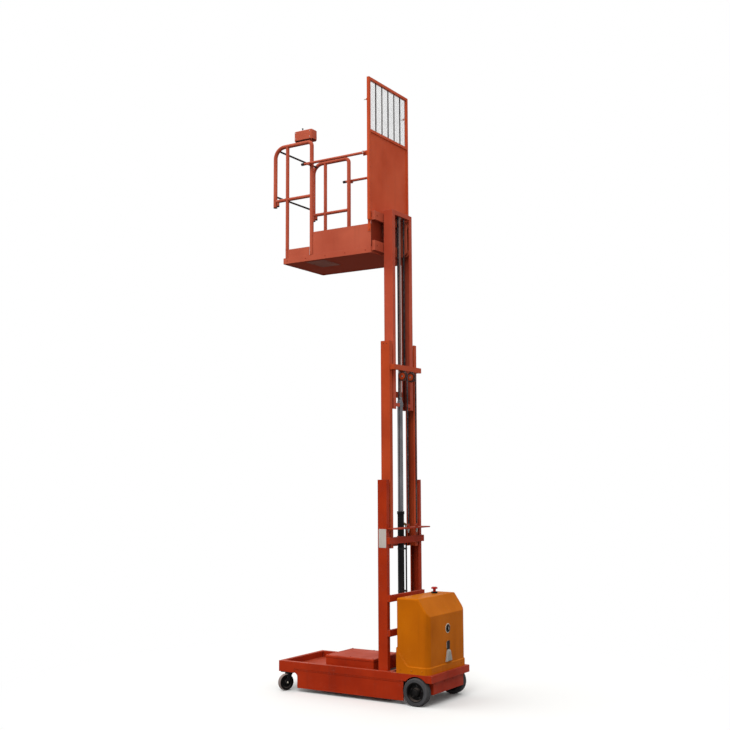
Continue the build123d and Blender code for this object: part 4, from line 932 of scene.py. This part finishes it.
cylinderLook = {
    "axis": (-0.354, 0.0),
    "hose": (-0.380, -0.048),
    "barrelRadius": 0.0292,
    "hoseRadius": 0.0072,
    "strapZ": (0.42, 0.894, 1.264),
    "strapHeight": 0.014,
    "strapThick": 0.0014,
    "strapSink": 0.0002,
    "strapScrew": 0.0052,
    "portZ": 1.488,
    "portSpan": (0.0335, 0.0425),
    "portSize": 0.0128,
    "portEdge": 0.0009,
    "portWasher": [(0.0112, 0), (0.0118, 0.0004), (0.0118, 0.003)],
    "sleeveZ": (1.441, 1.473),
    "sleeveRadius": 0.0099,
    "sleeveRidge": 0.0007,
    "sleeveRings": 8,
    "nutOver": 0.002,
    "nutHigh": 0.009,
    "nutEdge": 0.0008,
    "foot": [(0.0085, 0.0605), (0.0105, 0.062), (0.0105, 0.082), (0.0092, 0.0835), (0.0092, 0.1),
             (0.0078, 0.101)],
    "glandZ": 1.600,
    "glandScrews": 6,
    "glandScrew": 0.0028,
    "clampX": -0.3185,
    "clampY": 0.042,
    "clampZ": (1.339, 1.369),
    "clampBolt": 0.006,
    "headDrop": 0.064,
    "headRadius": 0.0294,
    "headScrew": 0.003,
    "headSink": 0.0005,
    "headRim": [(0.0205, 0), (0.0205, 0.003), (0.0176, 0.0046)],
    "collarRadius": 0.0215,
    "collarDrop": 0.014,
    "collarScrew": 0.0032,
}


# Outline of a belt pulled round two circles
def beltRound(circles, extra, steps=64):
    outline = []
    for step in range(steps):
        turn = 2 * pi * step / steps
        out = Vector((cos(turn), sin(turn)))
        centre, radius = max(circles, key=lambda circle: circle[0].dot(out) + circle[1])
        outline.append(centre + out * (radius + extra))
    return outline


look = cylinderLook
axis, hose = Vector(look["axis"]), Vector(look["hose"])
circles = ((axis, look["barrelRadius"]), (hose, look["hoseRadius"]))
inner, outer = beltRound(circles, -look["strapSink"]), beltRound(circles, look["strapThick"])
shape = bmesh.new()
for bottom in look["strapZ"]:
    top = bottom + look["strapHeight"]
    levels = ((inner, bottom), (outer, bottom), (outer, top), (inner, top))
    rings = [[(point.x, point.y, high) for point in line] for line, high in levels]
    addRings(shape, Matrix.Identity(4), rings, closed=True)
    tag = (axis.x, axis.y + look["barrelRadius"] + look["strapThick"], (bottom + top) / 2)
    addScrew(shape, tag, (0, 1, 0), look["strapScrew"])
finishPiece(shape, "hoseStraps", "chassis", "darkFastener", "dark_steel", sharp=50)

shape = bmesh.new()
for side in mirrored:
    for z in look["clampZ"]:
        addBolt(shape, (look["clampX"], side * look["clampY"], z), ahead, look["clampBolt"])
for u, v in ringOf(look["barrelRadius"], look["glandScrews"], pi / look["glandScrews"]):
    addScrew(shape, (axis.x + u, axis.y + v, look["glandZ"]), up, look["glandScrew"])
finishPiece(shape, "cylinderBolts", "chassis", "zincFastener", "bare_steel")

shape = bmesh.new()
outward = (hose - axis).normalized().to_3d()
port = Vector((axis.x, axis.y, look["portZ"]))
start, end = look["portSpan"]
outline = ringOf(look["portSize"], 6)
addPrism(shape, placed(port + outward * start, outward), outline, end - start, look["portEdge"])
washerEnd = look["portWasher"][-1][1]
addTurned(shape, placed(port + outward * (start - washerEnd), outward), look["portWasher"], 24)
bottom, top = look["sleeveZ"]
radius = look["sleeveRadius"]
outline = ringOf(radius + look["nutOver"], 6)
addPrism(shape, placed((hose.x, hose.y, top)), outline, look["nutHigh"], look["nutEdge"])
finishPiece(shape, "brassPortNuts", "chassis", "brassFitting", "bare_steel")

shape = bmesh.new()
profile = []
for step in range(look["sleeveRings"] + 1):
    z = bottom + (top - bottom) * step / look["sleeveRings"]
    profile.append((radius + (look["sleeveRidge"] if step % 2 else 0.0), z))
addTurned(shape, placed((hose.x, hose.y, 0)), profile, 24)
addTurned(shape, placed((hose.x, hose.y, 0)), look["foot"], 24)
finishPiece(shape, "hoseSleeves", "chassis", "brightSteel", "bare_steel", sharp=50)

shape = bmesh.new()
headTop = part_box("first_plunger")[1][2]
for u, v in ringOf(1, 6):
    out = Vector((u, v, 0))
    point = Vector((axis.x, axis.y, headTop - look["headDrop"])) + out * look["headRadius"]
    addScrew(shape, point, out, look["headScrew"])
addTurned(shape, placed((axis.x, axis.y, headTop - look["headSink"])), look["headRim"], 32)
finishPiece(shape, "plungerHeadScrews", "plunger", "zincFastener", "bare_steel")

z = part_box("upper_plunger")[1][2] - look["collarDrop"]
spots = [((axis.x + u, axis.y + v, z), down) for u, v in ringOf(look["collarRadius"], 4, pi / 4)]
fasten(spots, addScrew, look["collarScrew"], "rodCollarScrews", "inner_mast", "zincFastener", "bare_steel")


# Carriage: bolts through the two beams, a closing sheet between them painted darker than the platform as
# painted shade, nuts under the lift chains

carriageLook = {
    "boltX": -0.294,
    "boltY": (0.16, 0.28),
    "boltZ": (3.97, 4.245),
    "boltSize": 0.0064,
    "sheetX": -0.2622,
    "sheetZ": (3.963, 4.2055),
    "sheetWidth": 0.658,
    "sheetCorner": 0.004,
    "sheetThick": 0.003,
    "sheetEdge": 0.0005,
    "nutDrops": (0.036, 0.046),
    "nutSize": 0.0086,
    "nutThick": 0.007,
    "nutEdge": 0.0008,
    "studDrop": 0.052,
    "stud": [(0.0038, 0), (0.0045, 0.0008), (0.0045, 0.03)],
}
look = carriageLook
places = [(y, z) for y in look["boltY"] for z in look["boltZ"]]
spots = [((look["boltX"], side * y, z), back) for side in mirrored for y, z in places]
fasten(spots, addBolt, look["boltSize"], "carriageBolts", "platform", "paintedFastener", "platform_paint")
shape = bmesh.new()
low, high = look["sheetZ"]
outline = roundedPlate(look["sheetWidth"], high - low, look["sheetCorner"])
place = placed((look["sheetX"], 0, (low + high) / 2), ahead, (0, 1, 0))
addPrism(shape, place, outline, look["sheetThick"], look["sheetEdge"])
finishPiece(shape, "carriageSheet", "platform", "sheetPaintedShade", "platform_paint")

shape = bmesh.new()
for side in mirrored:
    stud = Vector((liftFoot.x, side * liftFoot.y, liftFoot.z))
    for drop in look["nutDrops"]:
        start = stud - Vector((0, 0, drop))
        addPrism(shape, placed(start), ringOf(look["nutSize"], 6), look["nutThick"], look["nutEdge"])
    addTurned(shape, placed(stud - Vector((0, 0, look["studDrop"]))), look["stud"], 12)
finishPiece(shape, "liftChainStuds", "middle_mast", "zincFastener", "bare_steel")
print("mast dressed")


# Power cover: key ring and slot faces, a light bezel, plug ribs, foot screws, dark base under the stop button

coverLook = {
    "y": -0.008,
    "faceX": -0.815,
    "faceRise": 0.0006,
    "keyZ": 0.609,
    "keyRadius": 0.0342,
    "keySink": 0.0052,
    "rimOver": 0.0004,
    "bezelRadius": 0.0405,
    "bezelDepths": (0.0036, 0.0024),
    "lockRadius": 0.0222,
    "lockX": -0.820,
    "lockSink": 0.0046,
    "tongue": (0.006, 0.026, 0.0028),
    "tongueThick": 0.0018,
    "slotZ": 0.468,
    "slotPlate": (0.0508, 0.0728, 0.008),
    "slotThick": 0.0008,
    "plugX": -0.8294,
    "plugTopZ": 0.425,
    "plugHeight": 0.092,
    "plugHalf": 0.018,
    "plugFlare": 0.026,
    "ribs": 6,
    "ribDrop": 0.012,
    "ribPitch": 0.0125,
    "ribRadius": 0.0021,
    "neck": (0.034, 0.018, 0.006),
    "neckHigh": 0.009,
    "neckPlace": (0.004, -0.001),
    "screwSize": 0.0055,
    "screwZ": 0.288,
    "sideScrewX": (-0.54, -0.65, -0.75),
    "sideY": 0.345,
    "rearScrewY": (-0.24, 0.24),
    "rearX": -0.818,
    "stopCentre": (-0.600, -0.160, 0.880),
    "stopSleeve": [(0.0134, 0.0142), (0.0258, 0.0142), (0.0263, 0.0134), (0.0263, 0.0002), (0.029, 0.0002),
                   (0.0294, 0.0016), (0.0280, 0.0026), (0.0268, 0.0148), (0.0258, 0.0156), (0.0134, 0.0156)],
}
look = coverLook
faceX, y, rise, sink = look["faceX"], look["y"], look["faceRise"], -look["keySink"]
key, lockFace = Vector((faceX, y, look["keyZ"])), Vector((look["lockX"], y, look["keyZ"]))
radius, lock = look["keyRadius"], look["lockRadius"]
rim = radius + look["rimOver"]
shape = bmesh.new()
profile = [(lock, -0.0002), (lock, rise), (radius - 0.001, rise), (rim, -rise), (rim, sink),
           (radius - 0.002, sink)]
addTurned(shape, placed(key, back), profile, 40, closed=True)
slot = placed((faceX, y, look["slotZ"]), back, (0, 1, 0))
addPrism(shape, slot, roundedPlate(*look["slotPlate"]), look["slotThick"], 0.0003)
profile = [(lock + 0.0003, -look["lockSink"]), (lock + 0.0003, 0.0), (lock - 0.001, 0.0007), (0, 0.0007)]
addTurned(shape, placed(lockFace, back), profile, 36)
finishPiece(shape, "keyAndSlotFaces", "chassis", "slotBlack", "fitting_grey")

shape = bmesh.new()
outer = look["bezelRadius"]
edge, top = [-depth for depth in look["bezelDepths"]]
profile = [(rim, sink), (outer, sink), (outer, edge), (outer - 0.001, top), (rim, top)]
addTurned(shape, placed(key, back), profile, 40, closed=True)
tongue = roundedPlate(*look["tongue"])
addPrism(shape, placed(lockFace, back, (0, 1, 0)), tongue, look["tongueThick"], 0.0004)
finishPiece(shape, "keyBezel", "chassis", "bezelSilver", "bare_steel")

shape = bmesh.new()
plugX, topZ = look["plugX"], look["plugTopZ"]
for step in range(look["ribs"]):
    z = topZ - look["ribDrop"] - step * look["ribPitch"]
    half = look["plugHalf"] + (topZ - z) / look["plugHeight"] * look["plugFlare"]
    addTube(shape, [(plugX, y - half, z), (plugX, y + half, z)], look["ribRadius"], 8)
neckX, neckZ = look["neckPlace"]
neck = placed((faceX + neckX, y, topZ + neckZ), up, (0, 1, 0))
addPrism(shape, neck, roundedPlate(*look["neck"]), look["neckHigh"], 0.001)
finishPiece(shape, "plugRibs", "chassis", "socketGrey", "fitting_grey")

sideX, sideY, z = look["sideScrewX"], look["sideY"], look["screwZ"]
spots = [((x, side * sideY, z), (0, side, 0)) for side in mirrored for x in sideX]
spots += [((look["rearX"], rearY, z), back) for rearY in look["rearScrewY"]]
fasten(spots, addScrew, look["screwSize"], "coverScrews", "chassis", "coverMoulding", "cover_yellow")

shape = bmesh.new()
addTurned(shape, placed(look["stopCentre"]), look["stopSleeve"], 36, closed=True)
finishPiece(shape, "stopBase", "chassis", "slotBlack", "hub_black")


# Wheels: tyres with round shoulders and shallow grooves, hub bolts, centre caps

wheelLook = {
    "steps": 96,
    "rimRadius": 0.082,
    "grooves": 3,
    "grooveDepth": 0.0014,
    "grooveHalf": 0.0016,
    "shoulder": 0.011,
    "boltRadius": 0.052,
    "boltCount": 5,
    "boltStart": 0.4,
    "boltReach": 0.044,
    "boltSize": 0.0075,
    "capRadius": 0.0215,
    "capInset": 0.008,
}


# Outline of a solid tyre, radius and distance from its inner side
def tyreProfile(inner, outer, wide, shoulder, grooves=0, depth=0, half=0):
    start = outer - shoulder
    profile = [(inner, 0.002), (start - 0.004, 0.0), (start, 0.0004)]
    for step in range(1, 6):
        turn = pi / 2 * step / 6
        profile.append((start + shoulder * sin(turn), shoulder * (1 - cos(turn))))
    for groove in range(grooves):
        middle = shoulder + (wide - 2 * shoulder) * (groove + 0.5) / grooves
        profile += [(outer, middle - half - 0.0006), (outer - depth, middle - half)]
        profile += [(outer - depth, middle + half), (outer, middle + half + 0.0006)]
    flat = [(radius, wide - out) for radius, out in reversed(profile) if out < shoulder]
    step = wide - 0.0009  # the side face lies a little inside the shoulder's ring
    ring = [(start - 0.006, wide), (start - 0.007, step), (inner + 0.008, step), (inner + 0.007, wide)]
    return profile + flat[:-2] + ring + [(inner, wide - 0.002)]


look = wheelLook
for name, side in bothSides:
    tyre, wheel = "rear_tyre_" + name, "rear_wheel_" + name
    out = Vector((0, side, 0))
    low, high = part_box(tyre)
    wide = high[1] - low[1]
    centre = Vector(((low[0] + high[0]) / 2, low[1] if side > 0 else high[1], (low[2] + high[2]) / 2))
    shape = bmesh.new()
    radius = (high[0] - low[0]) / 2 - 0.0001
    tread = (look["grooves"], look["grooveDepth"], look["grooveHalf"])
    profile = tyreProfile(look["rimRadius"], radius, wide, look["shoulder"], *tread)
    addTurned(shape, placed(centre, out), profile, look["steps"], closed=True)
    finishPiece(shape, "rearTyre_" + name, wheel, "tyreCompound", "tyre_grey", [tyre], 28)
    ring = ringOf(look["boltRadius"], look["boltCount"], look["boltStart"])
    spots = [(centre + Vector((u, 0, v)) + out * look["boltReach"], out) for u, v in ring]
    fasten(spots, addBolt, look["boltSize"], "hubBolts_" + name, wheel, "darkFastener", "dark_steel")
    shape = bmesh.new()
    cap = look["capRadius"]
    dome = [(cap, -0.0004), (cap, 0.0016), (cap * 0.9, 0.003), (cap * 0.5, 0.0042), (0, 0.0046)]
    addTurned(shape, placed(centre + out * (wide - look["capInset"]), out), dome, 36)
    finishPiece(shape, "hubCap_" + name, wheel, "capRubber", "hub_black")


# Casters: crowned treads, side discs, centre bolts through the forks, screws under the mounts

casterLook = {
    "heading": radians(66.6),
    "swivel": (0.648, 0.305),
    "trail": 0.034,
    "radius": 0.0724,
    "rise": 0.0001,
    "hubRadius": 0.057,
    "width": 0.038,
    "shoulder": 0.007,
    "boltReach": 0.0328,
    "boltSize": 0.0082,
    "disc": [(0.0555, -0.0004), (0.0668, -0.0012), (0.0664, 0.0004), (0.0555, 0.0009)],
    "mountZ": 0.192,
    "mountBolt": 0.0055,
    "mountCorners": ((0.053, 0.024), (0.053, -0.024), (-0.053, 0.024), (-0.053, -0.024)),
}
look = casterLook
heading, wide = look["heading"], look["width"]
x, y = look["swivel"]
for name, side in bothSides:
    wheel = "caster_wheel_" + name
    rolling = Vector((cos(heading), side * sin(heading), 0))
    axle = Vector((-sin(heading), side * cos(heading), 0))
    centre = Vector((x, side * y, look["radius"] + look["rise"])) + rolling * look["trail"]
    shape = bmesh.new()
    profile = tyreProfile(look["hubRadius"], look["radius"], wide, look["shoulder"])
    addTurned(shape, placed(centre - axle * wide / 2, axle), profile, 72, closed=True)
    tread = "caster_tread_" + name
    finishPiece(shape, "casterTread_" + name, wheel, "casterTread", "tread_grey", [tread], 28)
    shape = bmesh.new()
    for face in (1, -1):
        addTurned(shape, placed(centre + axle * face * wide / 2, axle * face), look["disc"], 64, closed=True)
    finishPiece(shape, "casterDiscs_" + name, wheel, "hubMoulding", "hub_black")
    spots = [(centre + axle * face * look["boltReach"], axle * face) for face in (1, -1)]
    named = ("casterBolt_" + name, "caster_" + name, "bezelSilver", "bare_steel")
    fasten(spots, addRivet, look["boltSize"], *named)
corners = [(x + alongX, y + alongY) for alongX, alongY in look["mountCorners"]]
spots = [((boltX, side * boltY, look["mountZ"]), down) for side in mirrored for boltX, boltY in corners]
fasten(spots, addBolt, look["mountBolt"], "casterMountBolts", "chassis", "zincFastener", "bare_steel")


# Chassis: welds and strips along the skirts, lid and rear plate screws, dark mats in the mast's well that
# stand in for its shade

chassisLook = {
    "seamZ": 0.1985,
    "seamX": (-0.53, 0.52),
    "seamY": 0.3418,
    "seamPitch": 0.086,
    "seamLength": 0.034,
    "seamSize": 0.0019,
    "stripX": (-0.53, 0.53),
    "stripY": 0.341,
    "stripZ": (0.186, 0.1985),
    "stripThick": 0.0022,
    "lidInset": 0.022,
    "lidScrew": 0.0065,
    # Dark mats in the mast's well: painted shade where the well lies in shadow
    "wellShadeX": ((-0.496, -0.404), (-0.294, -0.204)),
    "wellShadeY": 0.149,
    "wellShadeZ": 0.2058,
    "wellShadeWidth": 0.288,
    "wellShadeCorner": 0.008,
    "wellShadeThick": 0.003,
    "wellShadeEdge": 0.0008,
    "rearX": -0.818,
    "rearY": (0.236, 0.08, -0.08, -0.236),
    "rearZ": 0.18,
    "rearBolt": 0.0062,
}
look = chassisLook
shape = bmesh.new()
start, end = look["seamX"]
for side in mirrored:
    y = side * look["seamY"]
    for step in range(int((end - start) / look["seamPitch"])):
        x = start + look["seamPitch"] * step
        addBead(shape, (x, y, look["seamZ"]), (x + look["seamLength"], y, look["seamZ"]), look["seamSize"])
finishPiece(shape, "skirtWelds", "chassis", "chassisPaint", "chassis_paint", sharp=60)

shape = bmesh.new()
start, end = look["stripX"]
low, high = look["stripZ"]
outline = [(start, low), (end, low), (end, high), (start, high)]
for side in mirrored:
    turned = Matrix((ahead, (0, 0, side), (0, 1, 0))).to_4x4()
    addPrism(shape, Matrix.Translation((0, side * look["stripY"], 0)) @ turned, outline, look["stripThick"])
finishPiece(shape, "skirtStrips", "chassis", "chassisPaint", "chassis_paint")

shape = bmesh.new()
boxLow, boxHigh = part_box("raised_box")
inset = look["lidInset"]
for x in (boxLow[0] + inset, (boxLow[0] + boxHigh[0]) / 2, boxHigh[0] - inset):
    for side in mirrored:
        addScrew(shape, (x, side * (boxHigh[1] - inset), boxHigh[2]), up, look["lidScrew"])
for y in look["rearY"]:
    addBolt(shape, (look["rearX"], y, look["rearZ"]), back, look["rearBolt"])
finishPiece(shape, "chassisScrews", "chassis", "paintedFastener", "chassis_paint")

# Dark mats that stand in for the shade in the mast's well: painted shade
shape = bmesh.new()
for rear, front in look["wellShadeX"]:
    outline = roundedPlate(front - rear, look["wellShadeWidth"], look["wellShadeCorner"])
    for side in mirrored:
        place = placed(((rear + front) / 2, side * look["wellShadeY"], look["wellShadeZ"]), up, ahead)
        addPrism(shape, place, outline, look["wellShadeThick"], look["wellShadeEdge"])
finishPiece(shape, "wellShadeMats", "chassis", "capRubber", "mat_rubber")
print("chassis and cover dressed")


# Backrest: woven wire behind five flat uprights, panel rivets, feet, light tips on the bar catches

backrestLook = {
    "sideReach": 0.3248,
    "low": 5.0442,
    "high": 5.5068,
    "wireX": -0.2439,
    "wireRadius": 0.0009,
    "pitch": 0.0127,
    "uprightX": -0.2477,
    "uprightSize": (0.0068, 0.011, 0.001, 2),
    "uprights": 5,
    "rivetSize": 0.0052,
    "rivetInset": 0.016,
    "rivetRows": 6,
    "rivetY": (-0.1, 0.1),
    "footX": (-0.2588, -0.2290),
    "footY": 0.3292,
    "footZ": (4.1, 4.222),
    "footThick": 0.004,
    "footCorner": 0.004,
    "footEdge": 0.0006,
    "footBoltInsets": (0.018, 0.03),
    "footBolt": 0.006,
    "tipX": -0.194,
    "tipZ": 5.328,
    "tipY": 0.332,
    "tip": [(0.0042, -0.024), (0.0046, -0.023), (0.0046, -0.002), (0.0036, 0.0)],
}


# A crimped wire that passes over and under the wires across it
def addWovenWire(shape, start, end, count, first, radius):
    start, end = Vector(start), Vector(end)
    points = []
    for step in range(count + 1):
        lift = radius * 0.9 * (1 if (step + first) % 2 else -1)
        points.append(start.lerp(end, step / count) + Vector((lift, 0, 0)))
    addTube(shape, points, radius, 5)


look = backrestLook
shape = bmesh.new()
reach, low, high = look["sideReach"], look["low"], look["high"]
x, radius = look["wireX"], look["wireRadius"]
columns, rows = round(2 * reach / look["pitch"]), round((high - low) / look["pitch"])
for column in range(1, columns):
    y = -reach + 2 * reach * column / columns
    addWovenWire(shape, (x, y, low), (x, y, high), rows, column, radius)
for row in range(1, rows):
    z = low + (high - low) * row / rows
    addWovenWire(shape, (x, -reach, z), (x, reach, z), columns, row + 1, radius)
finishPiece(shape, "wovenMesh", "platform", "zincWire", "bare_steel", ["backrest_mesh"], 60)

shape = bmesh.new()
outline = roundedPlate(*look["uprightSize"])
for step in range(look["uprights"]):
    y = -reach + 2 * reach * (step + 1) / (look["uprights"] + 1)
    addPrism(shape, placed((look["uprightX"], y, low), up, ahead), outline, high - low)
finishPiece(shape, "meshUprights", "platform", "darkRod", "platform_paint")

panelLow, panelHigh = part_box("backrest_panel")
inset = look["rivetInset"]
bottom, top = panelLow[2] + inset, panelHigh[2] - inset
places = []
for row in range(look["rivetRows"]):
    z = bottom + (panelHigh[2] - panelLow[2] - 2 * inset) * row / (look["rivetRows"] - 1)
    places += [(side * (panelHigh[1] - inset), z) for side in mirrored]
places += [(y, z) for z in (bottom, top) for y in look["rivetY"]]
faces = ((panelLow[0], back), (panelHigh[0], ahead))
spots = [((x, y, z), out) for y, z in places for x, out in faces]
fasten(spots, addRivet, look["rivetSize"], "panelRivets", "platform", "backrestPaint", "platform_paint")

shape = bmesh.new()
rear, front = look["footX"]
low, high = look["footZ"]
lowInset, highInset = look["footBoltInsets"]
outline = roundedPlate(front - rear, high - low, look["footCorner"])
for side in mirrored:
    out = (0, side, 0)
    centre = Vector(((rear + front) / 2, side * look["footY"], (low + high) / 2))
    addPrism(shape, placed(centre, out, ahead), outline, look["footThick"], look["footEdge"])
    for z in (low + lowInset, high - highInset):
        addBolt(shape, (centre.x, side * (look["footY"] + look["footThick"]), z), out, look["footBolt"])
finishPiece(shape, "backrestFeet", "platform", "backrestPaint", "platform_paint")

shape = bmesh.new()
for side in mirrored:
    addTurned(shape, placed((look["tipX"], side * look["tipY"], look["tipZ"]), ahead), look["tip"], 20)
finishPiece(shape, "catchTips", "platform", "bezelSilver", "bare_steel")


# Entry bars: ribbed rubber sleeves over the free ends, hinge bolts with washers

gateLook = {
    "z": 4.826,
    "y": 0.3535,
    "tipX": 0.489,
    "sleeveLength": 0.034,
    "sleeveRadius": 0.0131,
    "sleeveChamfer": (0.0008, 0.0012),
    "sleeveDome": ((1, -0.003), (0.86, -0.0004), (0, 0.0006)),  # shares of its radius
    "ribs": 5,
    "ribStart": 0.006,
    "ribPitch": 0.0055,
    "ribSize": 0.0006,
    "hingeX": -0.201,
    "hingeReach": 0.0127,
    "hingeBolt": 0.0078,
}
look = gateLook
radius, length = look["sleeveRadius"], look["sleeveLength"]
inward, forward = look["sleeveChamfer"]
sleeve = [(radius - inward, -length), (radius, -length + forward)]
sleeve += [(radius * share, out) for share, out in look["sleeveDome"]]
for name, side in bothSides:
    gate = "gate_" + name
    tip = Vector((look["tipX"], side * look["y"], look["z"]))
    shape = bmesh.new()
    addTurned(shape, placed(tip, ahead), sleeve, 28)
    for step in range(look["ribs"]):
        centre = tip - Vector((look["ribStart"] + step * look["ribPitch"], 0, 0))
        addBeadRing(shape, centre, ahead, radius - 0.0002, look["ribSize"], 10)
    finishPiece(shape, "barTip_" + name, gate, "capRubber", "control_plastic", sharp=50)
    spots = [((look["hingeX"], side * (look["y"] + look["hingeReach"]), look["z"]), (0, side, 0))]
    fasten(spots, addBolt, look["hingeBolt"], "hingeBolt_" + name, gate, "zincFastener", "bare_steel")


# Guards: welds round the tube joints and the posts' feet, dark plugs in the open ends

guardLook = {
    "y": 0.317,
    "postX": (0.399, 0.680),
    "postRadius": 0.0172,
    "railZ": 4.525,
    "railRadius": 0.0163,
    "railBead": 0.0021,
    "footZ": 4.0405,
    "footBead": 0.0022,
    "hoopEnd": (0.823, 4.4668),
    "hoopPlug": [(0.0192, -0.0006), (0.0194, 0.0024), (0.017, 0.0046), (0.0, 0.0052)],
    "stubEnd": (0.789, 4.4748),
    "stubPlug": [(0.0114, -0.007), (0.0118, -0.006), (0.0118, 0.0022), (0.0104, 0.0036), (0.0, 0.004)],
}
look = guardLook
welds, plugs = bmesh.new(), bmesh.new()
for side in mirrored:
    y = side * look["y"]
    for x in look["postX"]:
        joint = (x + look["postRadius"], y, look["railZ"])
        addBeadRing(welds, joint, ahead, look["railRadius"], look["railBead"], 16)
        addBeadRing(welds, (x, y, look["footZ"]), up, look["postRadius"], look["footBead"], 18)
    for end, plug, steps in (("hoopEnd", "hoopPlug", 28), ("stubEnd", "stubPlug", 24)):
        x, z = look[end]
        addTurned(plugs, placed((x, y, z), down), look[plug], steps)
finishPiece(welds, "guardWelds", "platform", "platformPaint", "platform_paint", sharp=60)
finishPiece(plugs, "tubePlugs", "platform", "capRubber", "control_plastic")


# Platform floor: raised studs on the mat, screws in the hatch and along the deck's side

floorLook = {
    "studRadius": 0.0052,
    "studRise": 0.0009,
    "pitch": 0.0265,
    "inset": 0.018,
    "hatchCentre": (0.389, 0.143),
    "hatchSize": (0.215, 0.290),
    "hatchGap": 0.004,
    "hatchCorner": 0.009,
    "hatchZ": 3.908,
    "hatchThick": 0.0008,
    "hatchScrewInset": 0.012,
    "hatchScrew": 0.0048,
    "sideRivetX": (-0.2, 0.02, 0.24, 0.46, 0.67),
    "sideRivet": 0.0055,
    "sideY": 0.331,
    "sideZ": 3.9325,
}
look = floorLook
matLow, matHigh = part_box("floor_mat")
shape = bmesh.new()
pitch, inset = look["pitch"], look["inset"]
radius, rise = look["studRadius"], look["studRise"]
acrossCount = int((matHigh[1] - matLow[1] - 2 * inset) / pitch)
alongCount = int((matHigh[0] - matLow[0] - 2 * inset) / pitch)
stud = [(radius, -0.0002), (radius * 0.84, rise * 0.8), (radius * 0.5, rise)]
for column in range(alongCount + 1):
    for row in range(acrossCount + 1):
        x = matLow[0] + inset + pitch * (column + 0.25)
        y = -acrossCount * pitch / 2 + pitch * row
        addTurned(shape, placed((x, y, matHigh[2]), up, ahead), stud, 10)
finishPiece(shape, "matStuds", "platform", "matRubber", "mat_rubber")

shape = bmesh.new()
x, y = look["hatchCentre"]
wide, deep = look["hatchSize"]
gap, inset, thick = look["hatchGap"], look["hatchScrewInset"], look["hatchThick"]
outline = roundedPlate(wide - gap, deep - gap, look["hatchCorner"])
addPrism(shape, placed((x, y, look["hatchZ"]), down, ahead), outline, thick, 0.0003)
finishPiece(shape, "hatchFace", "platform", "hatchPrimer", "platform_paint")
shape = bmesh.new()
for turnX in (1, -1):
    for turnY in (1, 0, -1):
        point = (x + turnX * (wide / 2 - inset), y + turnY * (deep / 2 - inset), look["hatchZ"] - thick)
        addScrew(shape, point, down, look["hatchScrew"])
for side in mirrored:
    for rivetX in look["sideRivetX"]:
        addRivet(shape, (rivetX, side * look["sideY"], look["sideZ"]), (0, side, 0), look["sideRivet"])
finishPiece(shape, "deckScrews", "platform", "paintedFastener", "platform_paint")


# Control box: dark panel with three buttons and a short lever, side screws, a sealing strip in the groove

controlLook = {
    "panelSize": (0.165, 0.066),
    "panelCorner": 0.008,
    "panelThick": 0.0016,
    "buttons": ((-0.055, 0.012, "buttonGreen"), (-0.028, 0.012, "buttonWhite"),
                (-0.055, -0.014, "stopMushroom")),
    "button": [(0.0094, -0.0003), (0.0094, 0.0024), (0.0076, 0.0032), (0.0076, 0.0066), (0.006, 0.0078),
               (0, 0.0082)],
    "leverX": 0.035,
    "leverLength": 0.034,
    "boot": [(0.015, -0.0003), (0.015, 0.002), (0.0125, 0.0034), (0.0132, 0.005), (0.0105, 0.0064),
             (0.0112, 0.008), (0.006, 0.0105)],
    "stick": [(0.0034, 0.62), (0.0072, 0.7), (0.0086, 0.86), (0.006, 1), (0, 1.03)],  # shares of its length
    "stickFoot": (0.0034, 0.008),
    "screwInset": 0.022,
    "screwDrops": (0.02, 0.03),
    "screwSize": 0.0042,
    "groove": (5.0652, 5.0744),
    "grooveInset": 0.0178,
    "grooveCorner": 0.0095,
}
look = controlLook
boxLow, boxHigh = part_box("control_box")
top = Vector(((boxLow[0] + boxHigh[0]) / 2, (boxLow[1] + boxHigh[1]) / 2, boxHigh[2]))
shape = bmesh.new()
wide, deep = look["panelSize"]
thick = look["panelThick"]
addPrism(shape, placed(top, up, ahead), roundedPlate(wide, deep, look["panelCorner"]), thick, 0.0004)
lever = placed(top + Vector((look["leverX"], 0, thick)))
addTurned(shape, lever, look["boot"], 28)
stick = [look["stickFoot"]] + [(radius, look["leverLength"] * share) for radius, share in look["stick"]]
addTurned(shape, lever, stick, 24)
finishPiece(shape, "controlPanel", "platform", "slotBlack", "control_plastic")
for index, (x, y, paint) in enumerate(look["buttons"]):
    shape = bmesh.new()
    addTurned(shape, placed(top + Vector((x, y, thick))), look["button"], 28)
    finishPiece(shape, "controlButton_" + str(index + 1), "platform", paint, "control_plastic")
inset, (highDrop, lowRise) = look["screwInset"], look["screwDrops"]
faces = ((boxHigh[1], (0, 1, 0)), (boxLow[1], (0, -1, 0)))
screwX, screwZ = (boxLow[0] + inset, boxHigh[0] - inset), (boxHigh[2] - highDrop, boxLow[2] + lowRise)
spots = [((x, y, z), out) for x in screwX for z in screwZ for y, out in faces]
fasten(spots, addScrew, look["screwSize"], "controlScrews", "platform", "zincFastener", "bare_steel")
shape = bmesh.new()
low, high = look["groove"]
inset = look["grooveInset"]
outline = roundedPlate(boxHigh[0] - boxLow[0] - inset, boxHigh[1] - boxLow[1] - inset, look["grooveCorner"])
addPrism(shape, placed((top.x, top.y, low), up, ahead), outline, high - low)
finishPiece(shape, "controlSeal", "platform", "slotBlack", "control_plastic")
print("platform dressed")
